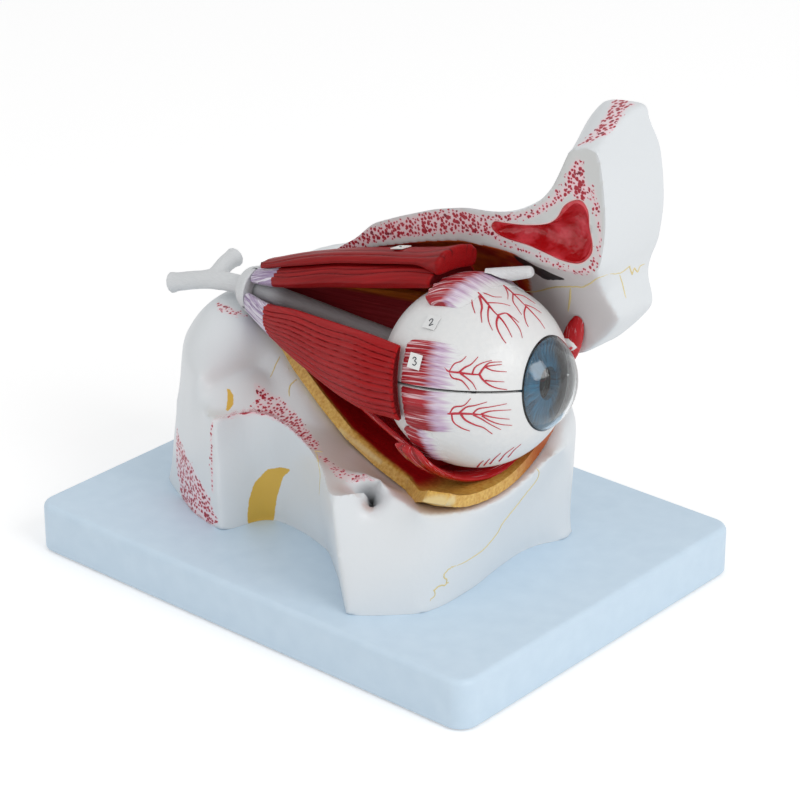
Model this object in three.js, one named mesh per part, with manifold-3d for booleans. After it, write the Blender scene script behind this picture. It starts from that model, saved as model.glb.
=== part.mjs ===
// Eye anatomy model: a right eyeball at about three times life size, held in a
// sectioned bony orbit that stands on a rounded base plate.
// Millimetres, +Z up, +X towards the front of the face, +Y towards the nose.
// The origin is at the centre of the footprint, level with the soles of the feet.
import * as THREE from 'three';
import { mergeVertices } from 'three/addons/utils/BufferGeometryUtils.js';
import Module from 'manifold-3d';

const wasm = await Module();
wasm.setup();

// Base plate, feet and screws
const plateLength = 240;
const plateWidth = 180;
const plateHeight = 21.7;
const plateCornerRadius = 8.5;
const plateEdgeRadius = 2.8;
const plateSoleRadius = 0.8;
const footDiameter = 16;
const footHeight = 3;
const footProud = 0.8;
const footInset = 20;
const screwShankDiameter = 4;
const screwHeadDiameter = 9;
const screwHeadHeight = 3;
const screwLength = 34;
const screwRecess = 2;

// Clearances
const fitGap = 0.3;
const runningGap = 0.5;

// Orbit: heights below are above the plate's top face
const sectionPlaneY = 8;
const midlineY = 46;
const wallJointHeight = 88;
const lateralCutHeight = 50;

// Room between the eyeball and the orbit's wall at its widest
const orbitRoom = 10.8;

// Eyeball
const eyeRadius = 37.7;
const eyeCentre = { x: 63.2, y: -15, height: 89.1 };
const eyeAxis = new THREE.Vector3(0.984, 0.140, 0.110);
const eyeUp = new THREE.Vector3(-0.134, 0.177, 0.975);
const scleraWall = 3;
const choroidWall = 1.8;
const halvesGap = 0.9;
const limbusRadius = 19.1;
const corneaRise = 10.6;
const corneaWall = 1.4;
const irisThickness = 1.5;
const pupilRadius = 6.6;
const lensRadius = 13.4;
const lensThickness = 11;
const insertionThickness = 1.2;
const superiorInsertionThickness = 2.4;
const pinDiameter = 1.6;
const pinLength = 5.2;
const mountPegRadius = 2.4;
const mountPegInNerve = 9.5;

// Optic nerve and tendon ring
const nerveRadius = 4.7;
const ringOuterRadius = 11.4;
const ringFrontRadius = 10.9;
const ringLength = 7;
const apex = { x: -66.2, y: -3, height: 85.3 };
const muscleConeStart = 7.2;

// Muscles
const muscleFrontX = 50;
const lateralRectusThickness = 8;
const superiorRectusThickness = 7.5;
const medialRectusThickness = 5.5;
const inferiorRectusThickness = 4.5;
const fatThickness = 5;
const levatorThickness = 4.2;
const magnetRadius = 1.2;
const magnetOutward = 0.25;
const magnetLength = 1.6;

// Number labels
const labelSide = 6;
const labelThickness = 0.4;

// The way the eyeball leaves the orbit
const pullDirection = new THREE.Vector3(0.97, -0.243, 0);

const plateTop = footProud + plateHeight;
const eyeZ = plateTop + eyeCentre.height;

const finish = {
  plate: { color: '#c5d8e6', roughness: 0.35 },
  rubber: { color: '#2c2d2f', roughness: 0.9 },
  steel: { color: '#b9bcc0', roughness: 0.35, metalness: 1 },
  bone: { color: '#e9e8e5', roughness: 0.4 },
  fat: { color: '#d3a647', roughness: 0.4 },
  muscle: { color: '#a81c22', roughness: 0.35 },
  tendon: { color: '#c9bccd', roughness: 0.4 },
  nerve: { color: '#dedfe0', roughness: 0.4 },
  sclera: { color: '#eeeeec', roughness: 0.25 },
  choroid: { color: '#6e1a1c', roughness: 0.5 },
  clear: { color: '#dfe8ee', roughness: 0.05 },
  iris: { color: '#4a7690', roughness: 0.3 },
  label: { color: '#f6f6f4', roughness: 0.6 },
};

const model = new THREE.Group();

/** Adds one named mesh in its finish to a group. */
function add(name, geometry, look, group = model) {
  const mesh = new THREE.Mesh(geometry, new THREE.MeshStandardMaterial(look));
  mesh.name = name;
  group.add(mesh);
  return mesh;
}

/** Turns a closed geometry into a solid for cuts and joins. */
function toSolid(geometry) {
  const bare = geometry.clone();
  bare.deleteAttribute('normal');
  bare.deleteAttribute('uv');
  const merged = facingOut(mergeVertices(bare, 1e-4));
  const solid = new wasm.Manifold(new wasm.Mesh({
    numProp: 3,
    vertProperties: new Float32Array(merged.attributes.position.array),
    triVerts: new Uint32Array(merged.index.array),
  }));
  return solid;
}

/** Turns a solid back into a geometry with flat-shaded faces. */
function toGeometry(solid) {
  const mesh = solid.getMesh();
  const geometry = new THREE.BufferGeometry();
  geometry.setAttribute('position', new THREE.BufferAttribute(new Float32Array(mesh.vertProperties), 3));
  geometry.setIndex(new THREE.BufferAttribute(new Uint32Array(mesh.triVerts), 1));
  geometry.computeVertexNormals();
  return geometry;
}

/** Turns faces outwards if they point in. */
function facingOut(geometry) {
  const p = geometry.attributes.position;
  const index = geometry.index.array;
  const a = new THREE.Vector3();
  const b = new THREE.Vector3();
  const c = new THREE.Vector3();
  let volume = 0;
  for (let i = 0; i < index.length; i += 3) {
    a.fromBufferAttribute(p, index[i]);
    b.fromBufferAttribute(p, index[i + 1]);
    c.fromBufferAttribute(p, index[i + 2]);
    volume += a.dot(b.cross(c));
  }
  if (volume < 0) {
    for (let i = 0; i < index.length; i += 3) {
      [index[i], index[i + 1]] = [index[i + 1], index[i]];
    }
  }
  geometry.computeVertexNormals();
  return geometry;
}

/** Skins closed rings of equal length and caps the first and last one. */
function loft(rings, flatten) {
  const count = rings[0].length;
  const positions = rings.flat().flatMap((point) => [point.x, point.y, point.z]);
  const index = [];
  for (let r = 0; r < rings.length - 1; r += 1) {
    for (let i = 0; i < count; i += 1) {
      const j = (i + 1) % count;
      const low = r * count;
      const high = low + count;
      index.push(low + i, low + j, high + j, low + i, high + j, high + i);
    }
  }
  const capAt = (ring, start, sense) => {
    const outline = ring.map(flatten);
    const turn = Math.sign(THREE.ShapeUtils.area(outline)) * sense;
    for (const [a, b, c] of THREE.ShapeUtils.triangulateShape(outline, [])) {
      const area = THREE.ShapeUtils.area([outline[a], outline[b], outline[c]]);
      const order = Math.sign(area) === turn ? [a, b, c] : [a, c, b];
      index.push(...order.map((k) => k + start));
    }
  };
  capAt(rings[0], 0, -1);
  capAt(rings[rings.length - 1], count * (rings.length - 1), 1);
  const geometry = new THREE.BufferGeometry();
  geometry.setAttribute('position', new THREE.Float32BufferAttribute(positions, 3));
  geometry.setIndex(index);
  return facingOut(geometry);
}

const flatXY = (p) => new THREE.Vector2(p.x, p.y);
const flatXZ = (p) => new THREE.Vector2(p.x, p.z);
const flatYZ = (p) => new THREE.Vector2(p.y, p.z);

/** Straight-line value between listed stations [at, ...values]. */
function between(stations, at) {
  const last = stations.length - 1;
  let i = 0;
  while (i < last - 1 && at > stations[i + 1][0]) i += 1;
  const [a, b] = [stations[i], stations[i + 1]];
  const t = THREE.MathUtils.clamp((at - a[0]) / (b[0] - a[0]), 0, 1);
  return a.slice(1).map((value, k) => THREE.MathUtils.lerp(value, b[k + 1], t));
}

/** Cylinder along Z between two heights. */
function pillar(x, y, radius, from, to, sides = 16) {
  const geometry = new THREE.CylinderGeometry(radius, radius, to - from, sides);
  geometry.rotateX(Math.PI / 2);
  geometry.translate(x, y, (from + to) / 2);
  return geometry;
}

/** Round bar between two points. */
function bar(from, to, radius, sides = 16, endRadius = radius) {
  const length = from.distanceTo(to);
  const geometry = new THREE.CylinderGeometry(endRadius, radius, length, sides);
  const direction = to.clone().sub(from).normalize();
  const turn = new THREE.Quaternion().setFromUnitVectors(new THREE.Vector3(0, 1, 0), direction);
  geometry.applyQuaternion(turn);
  const middle = from.clone().lerp(to, 0.5);
  geometry.translate(middle.x, middle.y, middle.z);
  return geometry;
}

/** Tube of a given radius along a smooth curve through points. */
function tube(points, radius, steps, sides = 12) {
  const section = new THREE.Shape();
  section.absarc(0, 0, radius, 0, 2 * Math.PI);
  return new THREE.ExtrudeGeometry(section, {
    steps,
    curveSegments: sides / 2,
    bevelEnabled: false,
    extrudePath: new THREE.CatmullRomCurve3(points),
  });
}

// Base plate

/** Ring of a rounded rectangle, inset all round, at one height. */
function plateRing(inset, z) {
  const radius = plateCornerRadius - inset;
  const ring = [];
  const steps = 4;
  [[1, -1, -90], [1, 1, 0], [-1, 1, 90], [-1, -1, 180]].forEach(([sx, sy, start]) => {
    for (let i = 0; i <= steps; i += 1) {
      const a = THREE.MathUtils.degToRad(start + (90 * i) / steps);
      ring.push(new THREE.Vector3(
        sx * (plateLength / 2 - plateCornerRadius) + radius * Math.cos(a),
        sy * (plateWidth / 2 - plateCornerRadius) + radius * Math.sin(a),
        z,
      ));
    }
  });
  return ring;
}

const footPlaces = [[-1, -1], [1, -1], [1, 1], [-1, 1]].map(([sx, sy]) => [
  sx * (plateLength / 2 - footInset),
  sy * (plateWidth / 2 - footInset),
]);
const screwPlaces = [[-72, -22], [-66, 26], [52, -42], [52, 20]];

function makePlate() {
  const bend = [0, 30, 60, 90].map((degrees) => THREE.MathUtils.degToRad(degrees));
  const rings = [
    plateRing(plateSoleRadius, footProud),
    plateRing(0, footProud + plateSoleRadius),
    ...bend.map((a) => plateRing(
      plateEdgeRadius * (1 - Math.cos(a)), plateTop - plateEdgeRadius * (1 - Math.sin(a)))),
  ];
  let plate = toSolid(loft(rings, flatXY));
  for (const [x, y] of footPlaces) {
    plate = plate.subtract(toSolid(pillar(x, y, footDiameter / 2 + fitGap, 0, footHeight + fitGap)));
  }
  const headTop = footProud + screwRecess + screwHeadHeight + fitGap;
  for (const [x, y] of screwPlaces) {
    plate = plate.subtract(toSolid(pillar(x, y, screwHeadDiameter / 2 + runningGap, 0, headTop)));
    plate = plate.subtract(toSolid(pillar(x, y, screwShankDiameter / 2 + fitGap, 0, plateTop + 1)));
  }
  add('base_plate', toGeometry(plate), finish.plate);
}

function makeFeetAndScrews() {
  footPlaces.forEach(([x, y], i) => {
    add(`rubber_foot_${i + 1}`, pillar(x, y, footDiameter / 2, 0, footHeight), finish.rubber);
  });
  const headBottom = footProud + screwRecess;
  const shoulder = headBottom + screwHeadHeight;
  screwPlaces.forEach(([x, y], i) => {
    const profile = [
      [0, headBottom],
      [screwHeadDiameter / 2, headBottom],
      [screwHeadDiameter / 2, headBottom + screwHeadHeight / 2],
      [screwShankDiameter / 2, shoulder],
      [screwShankDiameter / 2, shoulder + screwLength - screwShankDiameter],
      [0, shoulder + screwLength],
    ].map(([r, z]) => new THREE.Vector2(r, z));
    const screw = new THREE.LatheGeometry(profile, 16);
    screw.rotateX(Math.PI / 2);
    screw.translate(x, y, 0);
    add(`base_screw_${i + 1}`, toGeometry(toSolid(screw)), finish.steel);
  });
}

// Orbit: the cavity is a cone of rounded sections from the apex to the front.
// Each station gives x, centre y, centre height, half width, rise, drop and the share
// by which the corner below the cheekbone is wider.
const wide = eyeRadius + orbitRoom;
const cavityStations = [
  [-74, -2.5, 85.3, 9, 9, 9, 0],
  [-57, -4, 85, 15.5, 15.5, 16, 0],
  [-34, -5, 85, 25, 25.5, 26, 0],
  [-8, -8.5, 86, 35, 36, 35.5, 0.02],
  [17, -11, 87, wide - 5.5, wide - 4.5, wide - 4, 0.06],
  [36, -13, 88, wide - 1.5, wide + 0.5, wide + 0.5, 0.12],
  [60, -15, 89, wide, wide + 2, wide + 2, 0.17],
  [70, -18, 89, wide, wide + 2.5, wide, 0.14],
  [82, -22, 89, wide + 1.5, wide + 6, wide - 1, 0.03],
  [112, -30, 89, wide + 7.5, wide + 15.5, wide + 7.5, 0],
];
const cavitySides = 32;

/** Point of one cavity section, moved out by a margin. */
function cavityPoint(x, angle, margin = 0) {
  const [y, height, side, up, down, corner] = between(cavityStations, x);
  const cos = Math.cos(angle);
  const sin = Math.sin(angle);
  const vertical = sin > 0 ? up : down;
  const widen = sin < 0 && cos < 0 ? 1 + corner * (2 * sin * cos) ** 2 : 1;
  return new THREE.Vector3(
    x,
    y + (side * widen + margin) * cos,
    plateTop + height + (vertical * widen + margin) * sin,
  );
}

function cavitySolid() {
  const rings = cavityStations.map(([x]) => Array.from({ length: cavitySides }, (_, i) => (
    cavityPoint(x, (i / cavitySides) * 2 * Math.PI)
  )));
  return toSolid(loft(rings, flatYZ));
}

/** Solid skinned over plan outlines [x, y] at heights above the plate. */
function planSolid(layers) {
  const rings = layers.map(([height, outline]) => outline.map(([x, y]) => (
    new THREE.Vector3(x, y, plateTop + height)
  )));
  return toSolid(loft(rings, flatXY));
}

/** Solid skinned over side profiles [x, height] at given y. */
function sideSolid(layers) {
  const rings = layers.map(([y, outline]) => outline.map(([x, height]) => (
    new THREE.Vector3(x, y, plateTop + height)
  )));
  return toSolid(loft(rings, flatXZ));
}

/** Solid skinned over cross profiles [y, height] at given x. */
function crossSolid(layers) {
  const rings = layers.map(([x, outline]) => outline.map(([y, height]) => (
    new THREE.Vector3(x, y, plateTop + height)
  )));
  return toSolid(loft(rings, flatYZ));
}

const medialBack = midlineY;

// Plan outlines of the cheek and skull-base block, anticlockwise from its rear corner
const blockLayers = [
  [0.05, [
    [-91, -38], [-60.5, -53.7], [-39.3, -58.5], [-36.5, -49], [-35, -41], [-31, -36], [-24.5, -34.8],
    [-10, -36.5], [6.5, -41.6], [26, -57], [49, -78], [59, -69.4], [71, -57], [73.2, -45], [72.5, -25],
    [69.6, -9], [67.5, 10], [69.4, 21], [75, 30.5], [74, 37], [64, medialBack], [-20, medialBack],
    [-78, medialBack], [-100, 32], [-107, 6], [-102, -20],
  ]],
  [25, [
    [-88, -38], [-61, -52.5], [-41, -58], [-39, -49], [-38, -41], [-34, -36], [-25, -35],
    [-11, -37.5], [3, -43], [22, -58.5], [45, -79], [56, -70], [68, -60], [76, -48], [77, -25],
    [75, -9], [73, 10], [73.5, 22], [78, 31.5], [75, 37], [64, medialBack], [-20, medialBack],
    [-78, medialBack], [-98, 32], [-105, 6], [-100, -20],
  ]],
  [50, [
    [-83, -36], [-62, -50], [-42, -58], [-42, -50], [-40.5, -43.5], [-36, -38.5], [-26, -37.5],
    [-14.7, -41], [-2, -46.5], [19, -59], [41, -78], [47, -66], [55, -56], [70, -54.5], [83, -27],
    [84.5, -8], [84.5, 8], [83, 20], [79.5, 32], [76, 37], [64, medialBack], [-20, medialBack],
    [-78, medialBack], [-96, 32], [-104, 6], [-99.5, -18.5],
  ]],
  [66, [
    [-83, -36], [-62, -50], [-42, -58], [-42, -50], [-40.5, -43.5], [-36, -38.5], [-26, -37.5],
    [-14.7, -41], [-2, -46.5], [19, -59], [41, -78], [47, -66], [55, -56], [70, -54.5], [83, -27],
    [84.5, -8], [84.5, 8], [83, 20], [80, 32], [76, 37], [64, medialBack], [-20, medialBack],
    [-78, medialBack], [-96, 32], [-104, 6], [-99.5, -18.5],
  ]],
];

// The tower at the back, which carries the apex of the orbit
const towerLayers = [
  [38, [[-87, -37], [-62, -46], [-50, -36], [-46, -10], [-46, 30], [-60, medialBack], [-78, medialBack],
    [-97, 32], [-104, 6], [-99, -20]]],
  [50, [[-83, -34], [-68, -38], [-58, -26], [-50, -10], [-50, 30], [-60, medialBack], [-78, medialBack],
    [-95, 32], [-103, 6], [-99, -18.5]]],
  [68, [[-80, -31], [-70, -29], [-60, -18], [-52, -6], [-52, 30], [-60, medialBack], [-76, medialBack],
    [-93, 32], [-100, 6], [-97, -15]]],
  [79, [[-80, -22], [-70, -20], [-61, -14], [-54, -2], [-54, 30], [-60, medialBack - 1],
    [-74, medialBack - 2], [-88, 30], [-95, 6], [-90, -12]]],
];

// The medial wall below its joint with the roof
const wallLayers = [
  [20, [[-66, 20], [50, 26], [62, 34], [60, midlineY], [-66, midlineY]]],
  [wallJointHeight - fitGap, [[-66, 6], [54, 26], [66, 34], [60, midlineY], [-62, midlineY]]],
];

// What the cut through the side wall takes away. Each station has the far edge, the
// inner edge of the cut, the lip under the fat and a point inside the cavity.
const cutEdge = [
  [-57, -16, -10, 69],
  [-34, -28, -20, 63.5],
  [-10, -39, -29.5, 57.5],
  [12, -50, -37, 50],
  [28, -55.5, -38, 43],
  [47, -49, -41, 39.5],
];
const farSide = 110;
const clearHeight = 150;

function sideCut() {
  const layers = cutEdge.map(([x, edgeY, lipY, lipHeight]) => {
    const [y, height] = between(cavityStations, x);
    return [x, [
      [-farSide, clearHeight], [-farSide, lateralCutHeight], [edgeY, lateralCutHeight],
      [lipY, lipHeight], [y, height], [y, clearHeight],
    ]];
  });
  return crossSolid(layers);
}

// The rim of the orbit's opening, as heights across the front
const rimLine = [[-56, 44], [-49, 43], [-35, 41.8], [-21, 42], [-9, 44.5], [1, 49], [10, 53.5], [22, 58],
  [33, 61.5], [60, 64]];

function rimCut() {
  const front = [[-farSide, clearHeight], [-farSide, 44], ...rimLine, [60, clearHeight]];
  const back = front.map(([y, height], i) => {
    if (i === 0 || i === front.length - 1) return [y, height];
    return [y, Math.max(height, lateralCutHeight + 1)];
  });
  const middle = front.map(([y, height], i) => {
    if (i === 0 || i === front.length - 1) return [y, height];
    return [y, y < -45 ? Math.max(height, 47.5) : height];
  });
  return crossSolid([[46.5, back], [56, middle], [66, front], [130, front]]);
}

function makeLowerBone() {
  const cavity = cavitySolid();
  const blockTop = planSolid(blockLayers).subtract(sideCut()).subtract(rimCut());
  const tower = planSolid(towerLayers);
  const wall = planSolid(wallLayers);
  let bone = blockTop.add(tower).add(wall).subtract(cavity);
  bone = bone.subtract(nerveGroove());
  for (const [x, y] of screwPlaces) {
    const tip = footProud + screwRecess + screwHeadHeight + screwLength + fitGap;
    bone = bone.subtract(toSolid(pillar(x, y, screwShankDiameter / 2 + fitGap, 0, tip)));
  }
  add('orbit_lower_bone', toGeometry(bone), finish.bone);
}

// Profile of the forehead and orbital roof where the section plane cuts it
const roofUnderside = [[-74, 60], [69, 60], [78, 86], [86, 90]];
const roofFront = [[96, 100], [105, 111], [103.5, 117], [101, 123], [102, 130], [106, 139], [108, 155], [107, 167],
  [105, 179], [103, 187]];
const roofUpperCut = [[93, 184.5], [86, 174], [81, 166], [72, 157], [63, 151], [50, 148], [39, 147],
  [22, 142], [3, 134], [-12, 127], [-21, 118], [-39, 106], [-58, 97], [-76, 90]];
const foreheadTop = [95, 194.5];
const roofUpperMedial = [[76, 192], [74, 179], [67, 166], [60, 152], [50, 142], [38, 135], [30, 131],
  [18, 128], [2, 124.5], [-14, 120], [-26, 114], [-46, 103], [-60, 94], [-74, 89.5]];

function makeRoofBone() {
  const lateral = [...roofUnderside, ...roofFront, ...roofUpperCut];
  const medial = [...roofUnderside, ...roofFront.slice(0, -1), foreheadTop, ...roofUpperMedial];
  const layers = [
    [sectionPlaneY, lateral],
    [midlineY - 6, medial],
    [midlineY, medial],
  ];
  const whole = sideSolid(layers).trimByPlane([0, 0, 1], plateTop + wallJointHeight);
  const roof = whole.subtract(cavitySolid()).subtract(sinusSolid()).subtract(nerveGroove());
  const parts = roof.decompose();
  parts.sort((a, b) => b.volume() - a.volume());
  add('orbit_roof_bone', toGeometry(parts[0]), finish.bone);
}

// Frontal sinus: a shallow hollow in the section face
const sinusOutline = [[52.5, 140], [60, 139], [70, 139], [79, 138], [88, 137], [96, 138.2], [101, 143],
  [101.5, 148], [99.8, 154], [99, 160.5], [96, 163.8], [92, 163], [87.5, 159.5], [84, 153.5], [78.5, 149.6],
  [68, 146.6], [58, 144.6]];
const sinusDepth = 9;

function sinusSolid() {
  const centre = [86, 147];
  const shrink = (t) => sinusOutline.map(([x, height]) => [
    THREE.MathUtils.lerp(x, centre[0], t),
    THREE.MathUtils.lerp(height, centre[1], t),
  ]);
  return sideSolid([
    [sectionPlaneY - 2, sinusOutline],
    [sectionPlaneY + 0.1, sinusOutline],
    [sectionPlaneY + sinusDepth * 0.7, shrink(0.12)],
    [sectionPlaneY + sinusDepth, shrink(0.45)],
  ]);
}

// Optic nerve: from the eyeball through the ring to its cut end, with the crossing limb
const at = (x, y, height) => new THREE.Vector3(x, y, plateTop + height);
const nerveEntry = new THREE.Vector3(-0.994, 0.108, -0.026).normalize();
const nerveFront = at(eyeCentre.x, eyeCentre.y, eyeCentre.height)
  .addScaledVector(nerveEntry, eyeRadius + runningGap);
const fromApex = (dx, dy, dh) => at(apex.x + dx, apex.y + dy, apex.height + dh);
const nearCone = (x, dy, dh) => at(x, coneAt(x).y + dy, coneAt(x).height + dh);
const nerveRoute = [nerveFront, nearCone(-20, 1.2, 0.2), nearCone(-52, 0.9, 0.2), fromApex(-7.8, 0.4, -0.1),
  fromApex(-30.8, -1, -2.7), fromApex(-49.1, -4.4, -8.1)];
const limbRoute = [fromApex(-26.8, 0, -1.9), fromApex(-29.8, 8, 1.3), fromApex(-31.3, 16.5, 2.1)];

function nerveGroove() {
  const upper = tube(nerveRoute.slice(1), nerveRadius + 1, 12);
  const open = new THREE.BoxGeometry(46, 2 * nerveRadius + 3, 30);
  open.translate(...fromApex(-32.8, -1.5, 11.7).toArray());
  const limb = tube(limbRoute, nerveRadius + 1, 6);
  return toSolid(upper).add(toSolid(open)).add(toSolid(limb));
}

function makeNerve() {
  const main = toSolid(tube(nerveRoute, nerveRadius, 14, 12));
  const limb = toSolid(tube(limbRoute, nerveRadius * 0.95, 5, 12));
  const bore = toSolid(bar(...pegEnds(), mountPegRadius + fitGap, 12));
  add('optic_nerve', toGeometry(main.add(limb).subtract(bore)), finish.nerve);
  add('eyeball_mount_peg', bar(...pegEnds(fitGap), mountPegRadius, 12), finish.steel);
  const ring = new THREE.LatheGeometry([
    [nerveRadius + fitGap + 0.2, -ringLength / 2],
    [ringOuterRadius - 2, -ringLength / 2],
    [ringOuterRadius, 0],
    [ringFrontRadius, ringLength / 2],
    [nerveRadius + fitGap + 0.2, ringLength / 2],
    [nerveRadius + fitGap + 0.2, -ringLength / 2],
  ].map(([r, z]) => new THREE.Vector2(r, z)), 24);
  ring.rotateZ(-Math.PI / 2);
  ring.translate(ringFrontX - ringLength / 2, apex.y, plateTop + apex.height);
  let ringSolid = toSolid(ring).subtract(toSolid(tube(nerveRoute, nerveRadius + fitGap, 14, 12)));
  ringSolid = ringSolid.intersect(cavityInset(fitGap));
  for (const [muscle, angle] of magnets) {
    const back = magnetAt(angle, ringFrontX - fitGap - magnetLength);
    const front = magnetAt(angle, ringFrontX - fitGap);
    const mouth = magnetAt(angle, ringFrontX + 1);
    ringSolid = ringSolid.subtract(toSolid(bar(
      magnetAt(angle, back.x - fitGap), mouth, magnetRadius + fitGap, 8)));
    add(`ring_magnet_${muscle}`, bar(back, front, magnetRadius, 8), finish.steel);
  }
  add('tendon_ring', toGeometry(ringSolid), finish.bone);
}

// Disc magnets that hold the two removable muscles against the ring: name, turn about the cone
const ringFrontX = apex.x - fitGap;
const magnets = [['lateral', 207], ['superior', 100]];

/** Point on the magnets' circle at an x. */
function magnetAt(degrees, x) {
  const angle = THREE.MathUtils.degToRad(degrees);
  const radius = muscleConeStart + rearThickness / 2 + magnetOutward;
  return at(x, apex.y + radius * Math.cos(angle), apex.height + radius * Math.sin(angle));
}

/** Sinks a disc magnet into the rear end of a muscle and adds both. */
function addWithMagnet(name, geometry, muscle) {
  const angle = magnets.find(([key]) => key === muscle)[1];
  const back = magnetAt(angle, apex.x + fitGap);
  const front = magnetAt(angle, apex.x + fitGap + magnetLength);
  const mouth = magnetAt(angle, apex.x - 1);
  const pocket = bar(mouth, magnetAt(angle, front.x + fitGap), magnetRadius + fitGap, 8);
  add(name, toGeometry(toSolid(geometry).subtract(toSolid(pocket))), finish.muscle);
  add(`${name}_magnet`, bar(back, front, magnetRadius, 8), finish.steel);
}

function cavityInset(margin) {
  const rings = cavityStations.map(([x]) => Array.from({ length: cavitySides }, (_, i) => (
    cavityPoint(x, (i / cavitySides) * 2 * Math.PI, -margin)
  )));
  return toSolid(loft(rings, flatYZ));
}

// Muscle cone: straight from the ring to where it touches the eyeball
function coneAt(x) {
  const t = (x - apex.x) / (muscleFrontX - apex.x);
  const drop = eyeCentre.x - muscleFrontX;
  const reach = Math.sqrt(eyeRadius ** 2 - drop ** 2);
  return {
    y: THREE.MathUtils.lerp(apex.y, eyeCentre.y, t),
    height: THREE.MathUtils.lerp(apex.height, eyeCentre.height, t),
    radius: THREE.MathUtils.lerp(muscleConeStart, reach + 2 * runningGap, t),
  };
}

/** A strap of muscle on the cone. Stations: x, first and last angle, thickness, lift.
 *  A skew moves the last edge of the front end forward and the first one back. */
function strap(stations, rings = 12, across = 8, skew = 0) {
  const first = stations[0][0];
  const last = stations[stations.length - 1][0];
  const sections = [];
  for (let r = 0; r <= rings; r += 1) {
    const x = THREE.MathUtils.lerp(first, last, r / rings);
    const [from, to, thickness, lift] = between(stations, x);
    const cone = coneAt(x);
    const outer = [];
    const inner = [];
    for (let i = 0; i <= across; i += 1) {
      const u = (2 * i) / across - 1;
      const angle = THREE.MathUtils.degToRad(THREE.MathUtils.lerp(from, to, i / across));
      const bulge = thickness * (0.25 + 0.75 * Math.sqrt(1 - u ** 4));
      const low = cone.radius + lift + (thickness - bulge) * 0.25;
      const shift = skew * u * (r / rings) ** 2;
      const ringPoint = (radius) => new THREE.Vector3(
        x + shift, cone.y + radius * Math.cos(angle), plateTop + cone.height + radius * Math.sin(angle));
      inner.push(ringPoint(low));
      outer.push(ringPoint(low + bulge));
    }
    sections.push([...inner, ...outer.reverse()]);
  }
  return loft(sections, flatYZ);
}

const rearThickness = 4;
const lateralRectus = [
  [apex.x, 166, 250, rearThickness, 0],
  [-51, 168, 250, 5.5, 0],
  [-30, 155, 232, 6.5, 0],
  [2, 151, 218, lateralRectusThickness * 0.9, 0],
  [31, 149, 204, lateralRectusThickness, 0],
  [54.5, 149, 193, lateralRectusThickness / 2, 0],
];
const superiorRectus = [
  [apex.x, 64, 136, rearThickness, 0],
  [-51, 62, 134, 5.5, 0],
  [-14, 60, 117, superiorRectusThickness, 0],
  [17, 60, 111, superiorRectusThickness, 0],
  [38, 60, 107, superiorRectusThickness, 0],
  [46, 60, 105, superiorRectusThickness * 0.8, 0],
];
const levator = [
  [-62, 70, 110, 2.4, 4.8],
  [-45, 68, 108, 3.4, 6.6],
  [-14, 65, 101, levatorThickness, superiorRectusThickness + 0.6],
  [30, 64, 98, levatorThickness, superiorRectusThickness + 0.6],
  [49, 64, 97, levatorThickness, superiorRectusThickness * 0.86 + 0.8],
];
const medialRectus = [
  [apex.x, -30, 30, 3.5, 0],
  [-30, -24, 26, medialRectusThickness, 0],
  [47.5, -20, 24, medialRectusThickness * 0.8, 0],
];
const inferiorRectus = [
  [apex.x, 268, 322, 3, 0],
  [-51, 258, 314, 4, 0],
  [-30, 242, 306, inferiorRectusThickness, 0],
  [2, 232, 300, inferiorRectusThickness, 0],
  [31, 228, 296, inferiorRectusThickness, 0],
  [50, 232, 292, inferiorRectusThickness * 0.8, 0],
];
const superiorOblique = [
  [apex.x, 36, 56, 3, 0],
  [-30, 36, 52, 4.5, 0],
  [20, 36, 50, 4.5, 1],
  [58, 36, 44, 3, 2],
];

function makeMuscles() {
  addWithMagnet('lateral_rectus', strap(lateralRectus, 11, 8, 2), 'lateral');
  addWithMagnet('superior_rectus', strap(superiorRectus, 11, 8), 'superior');
  add('levator_muscle', strap(levator, 9, 6), finish.muscle);
  add('medial_rectus', strap(medialRectus, 8, 6), finish.muscle);
  add('inferior_rectus', strap(inferiorRectus, 9, 8), finish.muscle);
  add('superior_oblique', strap(superiorOblique, 7, 4), finish.muscle);
}

/** A band of flesh that hugs the round path of the eyeball at the front. */
function makeInferiorOblique() {
  const inner = eyeRadius + fitGap + insertionThickness + 2 * runningGap;
  const sections = [];
  const steps = 16;
  for (let i = 0; i <= steps; i += 1) {
    const t = i / steps;
    const angle = THREE.MathUtils.degToRad(THREE.MathUtils.lerp(212, 322, t));
    const middleX = THREE.MathUtils.lerp(57, 71, t);
    const half = 8.5 * (0.55 + 0.45 * Math.sin(Math.PI * t));
    const thick = 4.2 * (0.5 + 0.5 * Math.sin(Math.PI * t) ** 0.5);
    const centreY = eyeCentre.y - Math.max(0, middleX - eyeCentre.x) * 0.25;
    const ring = [];
    const around = 10;
    for (let k = 0; k < around; k += 1) {
      const a = (k / around) * 2 * Math.PI;
      const radius = inner + thick / 2 + (thick / 2) * Math.sin(a);
      const x = middleX + half * Math.cos(a);
      ring.push(new THREE.Vector3(
        x, centreY + radius * Math.cos(angle), eyeZ + radius * Math.sin(angle)));
    }
    sections.push(ring);
  }
  const flatten = (p) => new THREE.Vector2(p.x, Math.hypot(p.y - eyeCentre.y, p.z - eyeZ));
  add('inferior_oblique', loft(sections, flatten), finish.muscle);
}

// Orbital fat: a liner in the floor of the cavity. Stations: x, lateral edge angle, medial edge angle.
const fatStations = [
  [-60, 258, 352], [-46, 248, 351], [-34, 236, 350], [-8, 232, 348], [12, 233, 346], [28, 239, 345],
  [47, 240, 344], [60, 232, 340], [70, 226, 334], [79, 232, 326],
];

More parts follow.
